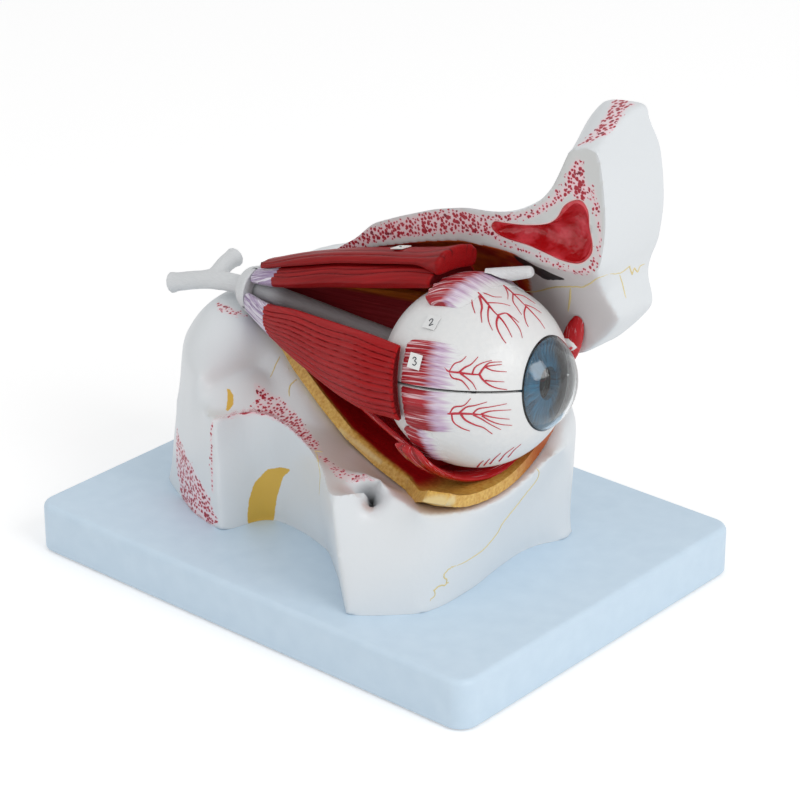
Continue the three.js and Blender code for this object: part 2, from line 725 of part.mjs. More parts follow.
function makeFat() {
  const across = 12;
  const sections = fatStations.map(([x, from, to]) => {
    const outer = [];
    const inner = [];
    for (let i = 0; i <= across; i += 1) {
      const angle = THREE.MathUtils.degToRad(THREE.MathUtils.lerp(from, to, i / across));
      outer.push(cavityPoint(x, angle, -2 * fitGap));
      inner.push(cavityPoint(x, angle, -2 * fitGap - (x < -50 ? fatThickness * 0.6 : fatThickness)));
    }
    return [...inner, ...outer.reverse()];
  });
  let fat = toSolid(loft(sections, flatYZ));
  for (const neighbour of ['lateral_rectus', 'medial_rectus', 'inferior_rectus', 'inferior_oblique']) {
    fat = fat.subtract(inflated(neighbour));
  }
  const room = new THREE.SphereGeometry(eyeRadius + insertionThickness + 3 * fitGap, 40, 24);
  fat = fat.subtract(toSolid(room).translate([eyeCentre.x, eyeCentre.y, eyeZ]));
  const pieces = fat.decompose();
  pieces.sort((a, b) => b.volume() - a.volume());
  add('orbital_fat', toGeometry(pieces[0]), finish.fat);
}

/** Ends of the peg that carries the eyeball on the nerve, drawn in by a margin. */
function pegEnds(margin = 0) {
  const inner = nerveRoute[0].clone();
  const direction = pullDirection.clone();
  const tip = inner.clone().addScaledVector(direction, runningGap + scleraWall - margin);
  const root = inner.clone().addScaledVector(direction, margin - mountPegInNerve);
  return [root, tip];
}

/** A placed mesh grown by the fitting gap, as a cutter. */
function inflated(name) {
  const mesh = model.getObjectByName(name);
  const bare = mesh.geometry.clone();
  bare.deleteAttribute('uv');
  bare.deleteAttribute('normal');
  const merged = mergeVertices(bare, 1e-4);
  merged.computeVertexNormals();
  const p = merged.attributes.position;
  const n = merged.attributes.normal;
  const grow = 1.5 * fitGap;
  for (let i = 0; i < p.count; i += 1) {
    p.setXYZ(i, p.getX(i) + grow * n.getX(i), p.getY(i) + grow * n.getY(i), p.getZ(i) + grow * n.getZ(i));
  }
  return toSolid(merged);
}

// Eyeball, in its own frame: +X along the optical axis, +Z across the split
const eyeball = new THREE.Group();
const eyeMedial = new THREE.Vector3().crossVectors(eyeUp, eyeAxis).normalize();
const eyeUpright = new THREE.Vector3().crossVectors(eyeAxis, eyeMedial).normalize();
eyeball.quaternion.setFromRotationMatrix(
  new THREE.Matrix4().makeBasis(eyeAxis.clone().normalize(), eyeMedial, eyeUpright));
eyeball.position.set(eyeCentre.x, eyeCentre.y, eyeZ);
model.add(eyeball);

const limbusX = Math.sqrt(eyeRadius ** 2 - limbusRadius ** 2);
const choroidOuter = eyeRadius - scleraWall - fitGap;
const choroidInner = choroidOuter - choroidWall;
const vitreousRadius = choroidInner - runningGap;
const bigBox = 200;
const ballSegments = 30;

/** Solid turned about the optical axis from [x, radius] points. */
function turned(points, segments = ballSegments) {
  const lathe = new THREE.LatheGeometry(points.map(([x, r]) => new THREE.Vector2(r, x)), segments);
  lathe.rotateZ(-Math.PI / 2);
  return toSolid(lathe);
}

/** Half of space above (side 1) or below (side -1) the split, less a gap. */
function halfSpace(side, gap) {
  const box = new THREE.BoxGeometry(bigBox, bigBox, bigBox);
  box.translate(0, 0, side * (bigBox / 2 + gap));
  return toSolid(box);
}

/** Arc of a shell's profile as [x, radius] points. */
function arc(radius, fromAngle, toAngle, steps) {
  return Array.from({ length: steps + 1 }, (_, i) => {
    const a = THREE.MathUtils.lerp(fromAngle, toAngle, i / steps);
    return [radius * Math.cos(a), radius * Math.sin(a)];
  });
}

/** Hollow ball open at the limbus. */
function shell(outer, inner, frontRadius) {
  const steps = 10;
  const points = [
    ...arc(outer, Math.asin(frontRadius / outer), Math.PI, steps),
    ...arc(inner, Math.PI, Math.asin(frontRadius / inner), steps),
  ];
  points[steps][1] = 0;
  points[steps + 1][1] = 0;
  return turned([...points, points[0]]);
}

const pinPlaces = [55, 205, 300].map((degrees) => {
  const r = eyeRadius - scleraWall / 2;
  const a = THREE.MathUtils.degToRad(degrees);
  return [r * Math.cos(a), r * Math.sin(a)];
});
const pinHalf = pinLength / 2;

function makeShells() {
  eyeball.updateMatrixWorld(true);
  const toEye = eyeball.matrixWorld.clone().invert();
  const [root, tip] = pegEnds(-fitGap / 2).map((point) => point.applyMatrix4(toEye));
  const socket = toSolid(bar(root, tip, mountPegRadius + runningGap, 12));
  const sclera = shell(eyeRadius, eyeRadius - scleraWall, limbusRadius).subtract(socket);
  const choroid = shell(choroidOuter, choroidInner, limbusRadius);
  for (const [name, side] of [['lower', -1], ['upper', 1]]) {
    const half = halfSpace(side, halvesGap / 2);
    let outer = sclera.intersect(half);
    for (const [x, y] of pinPlaces) {
      const reach = pinHalf + fitGap;
      outer = outer.subtract(toSolid(pillar(x, y, pinDiameter / 2 + fitGap, -reach, reach, 12)));
    }
    add(`sclera_${name}_half`, toGeometry(outer), finish.sclera, eyeball);
    add(`choroid_${name}_half`, toGeometry(choroid.intersect(half)), finish.choroid, eyeball);
  }
  pinPlaces.forEach(([x, y], i) => {
    add(`locating_pin_${i + 1}`, pillar(x, y, pinDiameter / 2, -pinHalf, pinHalf, 12), finish.steel, eyeball);
  });
}

// Lens, iris, cornea and vitreous body
const irisX = limbusX - 0.6;
const lensFrontX = irisX - irisThickness - runningGap;
const lensMiddleX = lensFrontX - lensThickness / 2;

/** Profile of a biconvex lens from back to front pole. */
function lensProfile(middle, radius, thickness) {
  const half = thickness / 2;
  const sphere = (radius ** 2 + half ** 2) / (2 * half);
  const spread = Math.asin(radius / sphere) * 0.93;
  const steps = 4;
  const back = Array.from({ length: steps + 1 }, (_, i) => {
    const a = (spread * i) / steps;
    return [middle + (sphere - half) - sphere * Math.cos(a), sphere * Math.sin(a)];
  });
  const front = back.map(([x, r]) => [2 * middle - x, r]).reverse();
  back[0][1] = 0;
  front[front.length - 1][1] = 0;
  return [...back, ...front];
}

function makeInside() {
  const lens = turned(lensProfile(lensMiddleX, lensRadius, lensThickness), 22);
  add('lens', toGeometry(lens), finish.clear, eyeball);
  const flatX = lensMiddleX + 1.5;
  const ball = turned([
    [-vitreousRadius, 0],
    ...arc(vitreousRadius, Math.PI, Math.acos(flatX / vitreousRadius), 8).slice(1),
    [flatX, 0],
  ]);
  const seat = turned(lensProfile(lensMiddleX, lensRadius + 2 * fitGap, lensThickness + 2 * fitGap), 22);
  const mouth = turned([
    [lensMiddleX, 0], [lensMiddleX, lensRadius + 2 * fitGap],
    [lensMiddleX + 20, lensRadius + 2 * fitGap], [lensMiddleX + 20, 0],
  ], 22);
  add('vitreous_body', toGeometry(ball.subtract(seat).subtract(mouth)), finish.clear, eyeball);
  const rim = limbusRadius - fitGap - 0.4;
  const iris = turned([
    [irisX - irisThickness, pupilRadius], [irisX - irisThickness, rim], [irisX, rim], [irisX + 1.2, pupilRadius],
    [irisX - irisThickness, pupilRadius],
  ]);
  add('iris', toGeometry(iris), finish.iris, eyeball);
  makeCornea();
}

function makeCornea() {
  const outer = (radius, rise, base, steps) => {
    const sphere = (radius ** 2 + rise ** 2) / (2 * rise);
    const spread = Math.asin(Math.min(1, radius / sphere));
    return Array.from({ length: steps + 1 }, (_, i) => {
      const a = (spread * i) / steps;
      return [base + rise - sphere + sphere * Math.cos(a), sphere * Math.sin(a)];
    });
  };
  const base = limbusX + fitGap;
  const front = outer(limbusRadius, corneaRise, base, 6);
  const back = outer(limbusRadius - corneaWall, corneaRise - corneaWall, base, 6).reverse();
  front[0][1] = 0;
  back[back.length - 1][1] = 0;
  add('cornea', toGeometry(turned([...front, ...back])), finish.clear, eyeball);
}

/** Patch on the ball between angles about the optical axis and distances from the front pole. */
function patch(fromTurn, toTurn, fromPole, toPole, inner, thickness, ragged = 0) {
  const across = 6;
  const along = 4;
  const rings = [];
  for (let i = 0; i <= across; i += 1) {
    const turn = THREE.MathUtils.degToRad(THREE.MathUtils.lerp(fromTurn, toTurn, i / across));
    const front = fromPole + (i % 2) * ragged;
    const point = (pole, radius) => new THREE.Vector3(
      radius * Math.cos(THREE.MathUtils.degToRad(pole)),
      radius * Math.sin(THREE.MathUtils.degToRad(pole)) * Math.cos(turn),
      radius * Math.sin(THREE.MathUtils.degToRad(pole)) * Math.sin(turn),
    );
    const low = [];
    const high = [];
    for (let k = 0; k <= along; k += 1) {
      const pole = THREE.MathUtils.lerp(front, toPole, k / along);
      low.push(point(pole, inner));
      high.push(point(pole, inner + thickness * (0.4 + 0.6 * Math.sqrt(k / along))));
    }
    rings.push([...low, ...high.reverse()]);
  }
  const flatten = (p) => new THREE.Vector2(p.x, Math.hypot(p.y, p.z));
  return toSolid(loft(rings, flatten));
}

// Insertions: name, half, first and last turn about the axis, front and back edge from the front pole
const insertions = [
  ['lateral_insertion_upper', 1, 149, 178.5, 71, 105, insertionThickness],
  ['lateral_insertion_lower', -1, 181.5, 203, 74, 104, insertionThickness],
  ['superior_insertion', 1, 68, 122, 67, 101, superiorInsertionThickness],
  ['inferior_insertion', -1, 208, 240, 86, 112, insertionThickness],
  ['medial_insertion_upper', 1, 1.5, 22, 66, 102, insertionThickness],
  ['medial_insertion_lower', -1, 340, 358.5, 66, 102, insertionThickness],
];

function makeInsertions() {
  for (const [name, side, fromTurn, toTurn, fromPole, toPole, thickness] of insertions) {
    const pad = patch(fromTurn, toTurn, fromPole, toPole, eyeRadius + fitGap, thickness, 2.5);
    add(name, toGeometry(pad.intersect(halfSpace(side, halvesGap / 2))), finish.tendon, eyeball);
  }
}

// Route of the tendon above the eyeball, from its centre in eye radii
const trochlearRoute = [[-0.125, 0.305, 0.984], [0.074, 0.424, 1.021], [0.326, 0.52, 1.085]];

function makeTrochlearTendon() {
  const ends = trochlearRoute.map((reach) => (
    new THREE.Vector3(eyeCentre.x, eyeCentre.y, eyeZ).addScaledVector(new THREE.Vector3(...reach), eyeRadius)));
  const tendon = toSolid(tube(ends, 2.6, 6, 10));
  const ball = toSolid(new THREE.SphereGeometry(eyeRadius + fitGap, 32, 20))
    .translate([eyeCentre.x, eyeCentre.y, eyeZ]);
  const row = insertions.find(([name]) => name === 'superior_insertion');
  const [, , fromTurn, toTurn, fromPole, toPole] = row;
  const room = superiorInsertionThickness + 1;
  const pad = patch(fromTurn - 1, toTurn + 1, fromPole - 1, toPole + 1, eyeRadius, room);
  const seated = tendon.subtract(ball).subtract(pad.transform(eyeball.matrixWorld.elements));
  const pieces = seated.decompose();
  pieces.sort((a, b) => b.volume() - a.volume());
  add('superior_oblique_tendon', toGeometry(pieces[0]), finish.nerve);
}

// Lacrimal sac: a pad on the inner wall beside the cornea
function makeLacrimalSac() {
  const rows = 9;
  const around = 10;
  const centre = at(79.8, 25.4, 94.3);
  const tall = 12.4;
  const rings = [];
  for (let i = 0; i <= rows; i += 1) {
    const t = (i / rows) * Math.PI * 0.9 + Math.PI * 0.05;
    const size = Math.sin(t);
    const ring = [];
    for (let k = 0; k < around; k += 1) {
      const a = (k / around) * 2 * Math.PI;
      ring.push(new THREE.Vector3(
        centre.x + 5.2 * size * Math.cos(a) - 3.2 * Math.cos(t),
        centre.y + 3 * size * Math.sin(a),
        centre.z - tall * Math.cos(t),
      ));
    }
    rings.push(ring);
  }
  const sac = toSolid(loft(rings, flatXY)).intersect(cavityInset(fitGap));
  add('lacrimal_sac', toGeometry(sac), finish.muscle);
}

// Number labels on the eyeball: name, height above its surface, the way it faces
const eyeLabels = [
  ['number_label_1', insertionThickness + fitGap, new THREE.Vector3(-1.6, -34.1, 16)],
  ['number_label_2', 0, new THREE.Vector3(-3, -24.1, 28.8)],
];

/** A square label centred at a point and facing along a direction. */
function makeLabel(name, centre, direction) {
  const label = new THREE.BoxGeometry(labelSide, labelSide, labelThickness);
  label.applyQuaternion(new THREE.Quaternion().setFromUnitVectors(new THREE.Vector3(0, 0, 1), direction));
  label.translate(centre.x, centre.y, centre.z);
  add(name, label, finish.label);
}

function makeLabels() {
  for (const [name, raise, facing] of eyeLabels) {
    const direction = facing.clone().normalize();
    const reach = eyeRadius + raise + fitGap + labelThickness / 2;
    const centre = at(eyeCentre.x, eyeCentre.y, eyeCentre.height).addScaledVector(direction, reach);
    makeLabel(name, centre, direction);
  }
  const x = 17;
  const [, , thickness, lift] = between(levator, x);
  const cone = coneAt(x);
  const outwards = new THREE.Vector3(0, 0.1, 1).normalize();
  const facing = outwards.clone().setX(-0.24).normalize();
  const centre = at(x, cone.y, cone.height)
    .addScaledVector(outwards, cone.radius + lift + thickness)
    .addScaledVector(facing, fitGap + labelThickness / 2);
  makeLabel('number_label_3', centre, facing);
}

makePlate();
makeFeetAndScrews();
makeLowerBone();
makeRoofBone();
makeNerve();
makeMuscles();
makeInferiorOblique();
makeFat();
makeShells();
makeInside();
makeInsertions();
makeTrochlearTendon();
makeLacrimalSac();
makeLabels();

export default model;
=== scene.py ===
"""Hand-painted eye anatomy model on its stand: a right eyeball in a sectioned orbit.

Lengths are millimetres in the part's own frame: x from the apex of the orbit to the face, y towards the
nose, z up from the table. They become metres where a mesh is made.
"""
import logging
import math
from dataclasses import dataclass, field
from enum import Enum

import bmesh
import bpy
import numpy as np
from mathutils import Matrix, Vector
from mathutils.bvhtree import BVHTree
from mathutils.kdtree import KDTree


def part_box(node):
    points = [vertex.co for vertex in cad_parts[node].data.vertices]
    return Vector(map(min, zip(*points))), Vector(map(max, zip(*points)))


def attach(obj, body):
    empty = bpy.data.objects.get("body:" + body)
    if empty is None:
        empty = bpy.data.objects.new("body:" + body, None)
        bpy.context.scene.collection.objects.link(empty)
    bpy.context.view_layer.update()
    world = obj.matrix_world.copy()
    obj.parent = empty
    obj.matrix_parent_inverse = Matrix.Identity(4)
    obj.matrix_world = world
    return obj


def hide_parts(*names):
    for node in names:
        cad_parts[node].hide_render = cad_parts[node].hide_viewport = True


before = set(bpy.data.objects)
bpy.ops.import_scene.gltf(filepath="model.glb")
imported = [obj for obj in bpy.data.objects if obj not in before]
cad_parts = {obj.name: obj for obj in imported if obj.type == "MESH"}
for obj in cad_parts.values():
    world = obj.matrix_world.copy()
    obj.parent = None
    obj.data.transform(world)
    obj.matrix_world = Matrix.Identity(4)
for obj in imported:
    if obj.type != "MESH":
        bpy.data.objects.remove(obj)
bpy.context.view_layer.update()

# A millimetre in metres, and the height of the plate's top above the table in millimetres.
MM, PLATE_TOP = 0.001, 22.5
# Points of a mesh closer than this, in metres, are one point.
MERGE = 1e-6
# What a distance inside an outline says far outside it.
OUTSIDE = -99.0
# Edge of a cutting tool, in millimetres: as good as sharp.
SHARP = 0.01
BALL_CENTRE = (63.2, -15.0, 111.6)
log = logging.getLogger("eye_model")
Array = np.ndarray
NodeTree, Node, Socket, Piece = bpy.types.NodeTree, bpy.types.Node, bpy.types.NodeSocket, bpy.types.Object


class Body(str, Enum):
    """Bodies of the part that pieces ride on."""

    STAND = "stand_and_orbit"
    EYEBALL = "eyeball"
    UPPER = "upper_half"
    VITREOUS = "vitreous"
    LENS = "lens"
    IRIS = "iris"
    CORNEA = "cornea"
    LATERAL = "lateral_rectus"
    SUPERIOR = "superior_rectus"


class Slot(str, Enum):
    """Material slots of the record."""

    BOARD = "plate_board"
    RUBBER = "rubber_feet"
    STEEL = "steel"
    BONE = "bone"
    FAT = "fat"
    MUSCLE = "muscle"
    TENDON = "tendon"
    NERVE = "nerve"
    SCLERA = "sclera"
    CHOROID = "choroid"
    CLEAR = "clear_parts"
    IRIS = "iris"
    LABEL = "label"


# ---------------------------------------------------------------- nodes and colours

def linear(code: str) -> tuple[float, float, float, float]:
    """Turns an sRGB hex colour into linear light.

    Args:
        code: The colour as #RRGGBB.

    Returns:
        Red, green, blue and alpha.
    """
    parts = [int(code[i:i + 2], 16) / 255 for i in (1, 3, 5)]
    light = [p / 12.92 if p <= 0.04045 else ((p + 0.055) / 1.055) ** 2.4 for p in parts]
    return light[0], light[1], light[2], 1.0


def feed(tree: NodeTree, node: Node, inputs: dict) -> None:
    """Gives a node its values and links.

    Args:
        tree: The node's tree.
        node: The node.
        inputs: Values, hex colours or output sockets by the name or place of an input.
    """
    for key, value in inputs.items():
        if isinstance(value, Socket):
            tree.links.new(value, node.inputs[key])
        else:
            is_colour = isinstance(value, str) and value.startswith("#")
            node.inputs[key].default_value = linear(value) if is_colour else value


def put(tree: NodeTree, kind: str, inputs: dict | None = None, out: int | str | None = 0,
        **settings) -> Socket | Node:
    """Adds a node with its settings, values and links.

    Args:
        tree: The tree that gets the node.
        kind: The node's type name.
        inputs: Values, hex colours or output sockets by the name or place of an input.
        out: The output to give back, or None for the node itself.
        **settings: The node's own properties.

    Returns:
        The chosen output socket or the node.
    """
    made = tree.nodes.new(kind)
    for key, value in settings.items():
        setattr(made, key, value)
    feed(tree, made, inputs or {})
    return made if out is None else made.outputs[out]


MATH, VECTOR_MATH, MIX, NOISE = "ShaderNodeMath", "ShaderNodeVectorMath", "ShaderNodeMix", "ShaderNodeTexNoise"
RANGE, ATTRIBUTE = "ShaderNodeMapRange", "ShaderNodeAttribute"
# What makes a mix node one of colours.
BLEND = {"out": 2, "data_type": "RGBA"}


@dataclass(frozen=True)
class Finish:
    """What every finish has: a name, the shader's plain values and the depth of its relief in millimetres."""

    name: str = "finish"
    colour: str = "#808080"
    roughness: float = 0.4
    metallic: float = 0.0
    coat: float = 0.0
    shine: float = 0.5
    depth: float = 0.0

    def material(self) -> bpy.types.Material:
        """Makes the material once and gives it back each time.

        Returns:
            The material.
        """
        known = bpy.data.materials.get(self.name)
        if known:
            return known
        made = bpy.data.materials.new(self.name)
        made.use_nodes = True
        made.diffuse_color = linear(self.colour)
        tree = made.node_tree
        plain = {"Base Color": self.colour, "Roughness": self.roughness, "Metallic": self.metallic,
                 "Coat Weight": self.coat, "Specular IOR Level": self.shine, "Coat Roughness": 0.08}
        painted = self.paint(tree)
        height = painted.pop("Height", None)
        if self.depth:
            bump = {"Height": height, "Distance": self.depth * MM, "Strength": 1.0}
            painted["Normal"] = put(tree, "ShaderNodeBump", bump)
        feed(tree, tree.nodes["Principled BSDF"], plain | painted)
        return made

    def paint(self, tree: NodeTree) -> dict[str, Socket | float]:
        """Adds the finish's own nodes.

        Args:
            tree: The material's tree.

        Returns:
            What goes into the main shader by input name, and the relief's "Height" from 0 to 1.
        """
        return {}

    @staticmethod
    def place(tree: NodeTree, per_mm: float | tuple[float, float, float] = 1.0) -> Socket:
        """Gives the object's coordinates times a number of turns a millimetre.

        Args:
            tree: The material's tree.
            per_mm: Scale for all axes or for each.

        Returns:
            The vector socket.
        """
        scale = per_mm if isinstance(per_mm, tuple) else (per_mm,) * 3
        spot = put(tree, "ShaderNodeTexCoord", out="Object")
        return put(tree, VECTOR_MATH, {0: spot, 1: tuple(s / MM for s in scale)}, operation="MULTIPLY")


@dataclass(frozen=True)
class Clouded(Finish):
    """A finish whose tone and relief follow one soft pattern, of so many turns a millimetre."""

    low: str = ""
    high: str = ""
    turns: float = 1.0
    detail: float = 2.0

    def paint(self, tree: NodeTree) -> dict[str, Socket | float]:
        """Adds the pattern, and its two colours where it has them.

        Args:
            tree: The material's tree.

        Returns:
            What goes into the main shader.
        """
        pattern = put(tree, NOISE, {"Vector": self.place(tree, self.turns), "Detail": self.detail})
        tone = put(tree, MIX, {0: pattern, 6: self.low, 7: self.high}, **BLEND) if self.low else self.colour
        return {"Base Color": tone, "Height": pattern}


@dataclass(frozen=True)
class LacqueredBoard(Finish):
    """Spray-lacquered fibreboard: an even pale blue with a faint orange-peel and soft cloudiness."""

    name: str = "lacquered_fibreboard"
    colour: str = "#C9DDEC"
    roughness: float = 0.42
    depth: float = 0.012

    def paint(self, tree: NodeTree) -> dict[str, Socket | float]:
        """Adds clouding over 40 mm and the lacquer's orange peel of about 1.5 mm.

        Args:
            tree: The material's tree.

        Returns:
            What goes into the main shader.
        """
        cloud = put(tree, NOISE, {"Vector": self.place(tree, 1 / 40), "Detail": 3.0})
        tone = put(tree, MIX, {0: cloud, 6: "#C9DEEF", 7: "#D6E9F8"}, **BLEND)
        peel = put(tree, NOISE, {"Vector": self.place(tree, 1 / 1.5), "Detail": 1.0})
        return {"Base Color": tone, "Height": peel}


@dataclass(frozen=True)
class PlatedSteel(Finish):
    """Zinc-plated turned steel: grey and bright, with a cloudy bloom."""

    name: str = "zinc_plated_steel"
    colour: str = "#B9BCC0"
    roughness: float = 0.32
    metallic: float = 1.0
    depth: float = 0.02

    def paint(self, tree: NodeTree) -> dict[str, Socket | float]:
        """Adds the bloom of the plating over 2 mm.

        Args:
            tree: The material's tree.

        Returns:
            What goes into the main shader.
        """
        bloom = put(tree, NOISE, {"Vector": self.place(tree, 0.5), "Detail": 4.0})
        rough = put(tree, RANGE, {"Value": bloom, "To Min": 0.22, "To Max": 0.45})
        return {"Roughness": rough, "Height": bloom}


@dataclass(frozen=True)
class CastBone(Finish):
    """Slush-cast white vinyl, hand painted: smooth, satin, with crimson sponge dots on the cut faces."""

    name: str = "painted_vinyl_bone"
    colour: str = "#E1E5E8"
    roughness: float = 0.36
    cut: str = "#D4D6D5"
    core: str = "#A80E28"
    deep: str = "#7C0C22"
    halo: str = "#F0B4C0"
    ochre: str = "#DDB348"
    cell: float = 1.65
    depth: float = 0.12

    def paint(self, tree: NodeTree) -> dict[str, Socket | float]:
        """Lays the painted areas over each other by the piece's own point values, all in millimetres.

        Args:
            tree: The material's tree.

        Returns:
            What goes into the main shader.
        """
        values = {key: put(tree, ATTRIBUTE, attribute_name=key, out="Fac")
                  for key in ("sponge", "section", "ochre", "wall", "sinus", "black", "amber")}
        spot = self.place(tree)
        chart = put(tree, ATTRIBUTE, attribute_name="chart", out="Vector")
        wander = put(tree, NOISE, {"Vector": chart, "Scale": 0.6, "Detail": 2.0}, out="Color")
        moved = put(tree, VECTOR_MATH, {0: wander, 1: (1.5, 1.5, 0.0), 2: chart}, operation="MULTIPLY_ADD")
        cells = put(tree, "ShaderNodeTexVoronoi", {"Vector": moved, "Scale": 1 / self.cell}, out=None,
                    voronoi_dimensions="2D")
        chance = put(tree, "ShaderNodeSeparateColor", {0: cells.outputs["Color"]}, out=None)
        patchy = put(tree, NOISE, {"Vector": spot, "Scale": 0.22, "Detail": 1.0})
        patchy = put(tree, RANGE, {"Value": patchy, "From Min": 0.35, "From Max": 0.65, "To Min": 0.75,
                                   "To Max": 1.2})
        dense = put(tree, MATH, {0: values["sponge"], 1: patchy}, operation="MULTIPLY")
        size = put(tree, MATH, {0: chance.outputs[0], 1: 0.24, 2: 0.18}, operation="MULTIPLY_ADD")
        growth = put(tree, RANGE, {"Value": dense, "From Min": 0.4, "From Max": 1.6, "To Min": 0.75,
                                   "To Max": 1.4})
        size = put(tree, MATH, {0: size, 1: growth}, operation="MULTIPLY")
        keep = put(tree, MATH, {0: chance.outputs[1], 1: dense}, operation="LESS_THAN")
        size = put(tree, MATH, {0: size, 1: keep}, operation="MULTIPLY")
        far = put(tree, MATH, {0: cells.outputs["Distance"], 1: size}, operation="SUBTRACT")
        core = put(tree, RANGE, {"Value": far, "From Min": 0.05, "From Max": -0.03, "To Min": 0.0, "To Max": 1.0})
        halo = put(tree, RANGE, {"Value": far, "From Min": 0.3, "From Max": 0.02, "To Min": 0.0, "To Max": 0.9})
        halo = put(tree, MATH, {0: halo, 1: keep}, operation="MULTIPLY")
        core = put(tree, MATH, {0: core, 1: keep}, operation="MULTIPLY")
        dark = put(tree, RANGE, {"Value": chance.outputs[2], "From Min": 0.84, "From Max": 0.96})

        def edge(key: str, ragged: float, soft: float = 0.15) -> Socket:
            """Turns a distance inside an outline into a mask with a brushed edge."""
            brush = put(tree, NOISE, {"Vector": spot, "Scale": 0.6, "Detail": 3.0})
            brush = put(tree, MATH, {0: brush, 1: ragged, 2: values[key]}, operation="MULTIPLY_ADD")
            middle = 0.5 * ragged
            return put(tree, RANGE, {"Value": brush, "From Min": middle - soft, "From Max": middle + soft})

        wall = put(tree, RANGE, {"Value": values["wall"], "To Max": 0.8})
        glow = put(tree, NOISE, {"Vector": spot, "Scale": 0.07, "Detail": 2.0})
        glow = put(tree, RANGE, {"Value": glow, "From Min": 0.42, "From Max": 0.6})
        blush = put(tree, MATH, {0: values["sponge"], 1: 0.45}, operation="MULTIPLY")
        rim = put(tree, RANGE, {"Value": values["sinus"], "From Min": -0.75, "From Max": -0.55})
        red = put(tree, RANGE, {"Value": values["sinus"], "From Min": -0.3, "From Max": -0.1})
        folds = put(tree, NOISE, {"Vector": spot, "Scale": 0.13, "Detail": 2.5})
        tone = put(tree, RANGE, {"Value": folds, "From Min": 0.38, "From Max": 0.62})
        glow = put(tree, MIX, {0: glow, 6: "#A81810", 7: "#D0641E"}, **BLEND)
        crimson = put(tree, MIX, {0: dark, 6: self.core, 7: self.deep}, **BLEND)
        flesh = put(tree, MIX, {0: tone, 6: "#B41218", 7: "#DC4A54"}, **BLEND)
        base = self.colour
        # The value "black" lays a near-black painted shadow; the other masks are paint.
        for mask, coat in ((values["section"], self.cut), (wall, "#C9AEA4"), (edge("amber", 3.0, 1.2), glow),
                           (edge("ochre", 0.8), self.ochre), (edge("black", 0.6), "#26262A"), (blush, "#F3D3D8"),
                           (halo, self.halo), (core, crimson), (rim, "#F3C9C8"), (red, flesh)):
            base = put(tree, MIX, {0: mask, 6: base, 7: coat}, **BLEND)
        wet = put(tree, MATH, {0: red, 1: -0.16, 2: self.roughness}, operation="MULTIPLY_ADD")
        soft = put(tree, NOISE, {"Vector": spot, "Scale": 0.25, "Detail": 2.0})
        pits = put(tree, MATH, {0: core, 1: -0.25, 2: soft}, operation="MULTIPLY_ADD")
        swell = put(tree, MATH, {0: folds, 1: red}, operation="MULTIPLY")
        pits = put(tree, MATH, {0: swell, 1: 14.0, 2: pits}, operation="MULTIPLY_ADD")
        return {"Base Color": base, "Roughness": wet, "Height": pits}


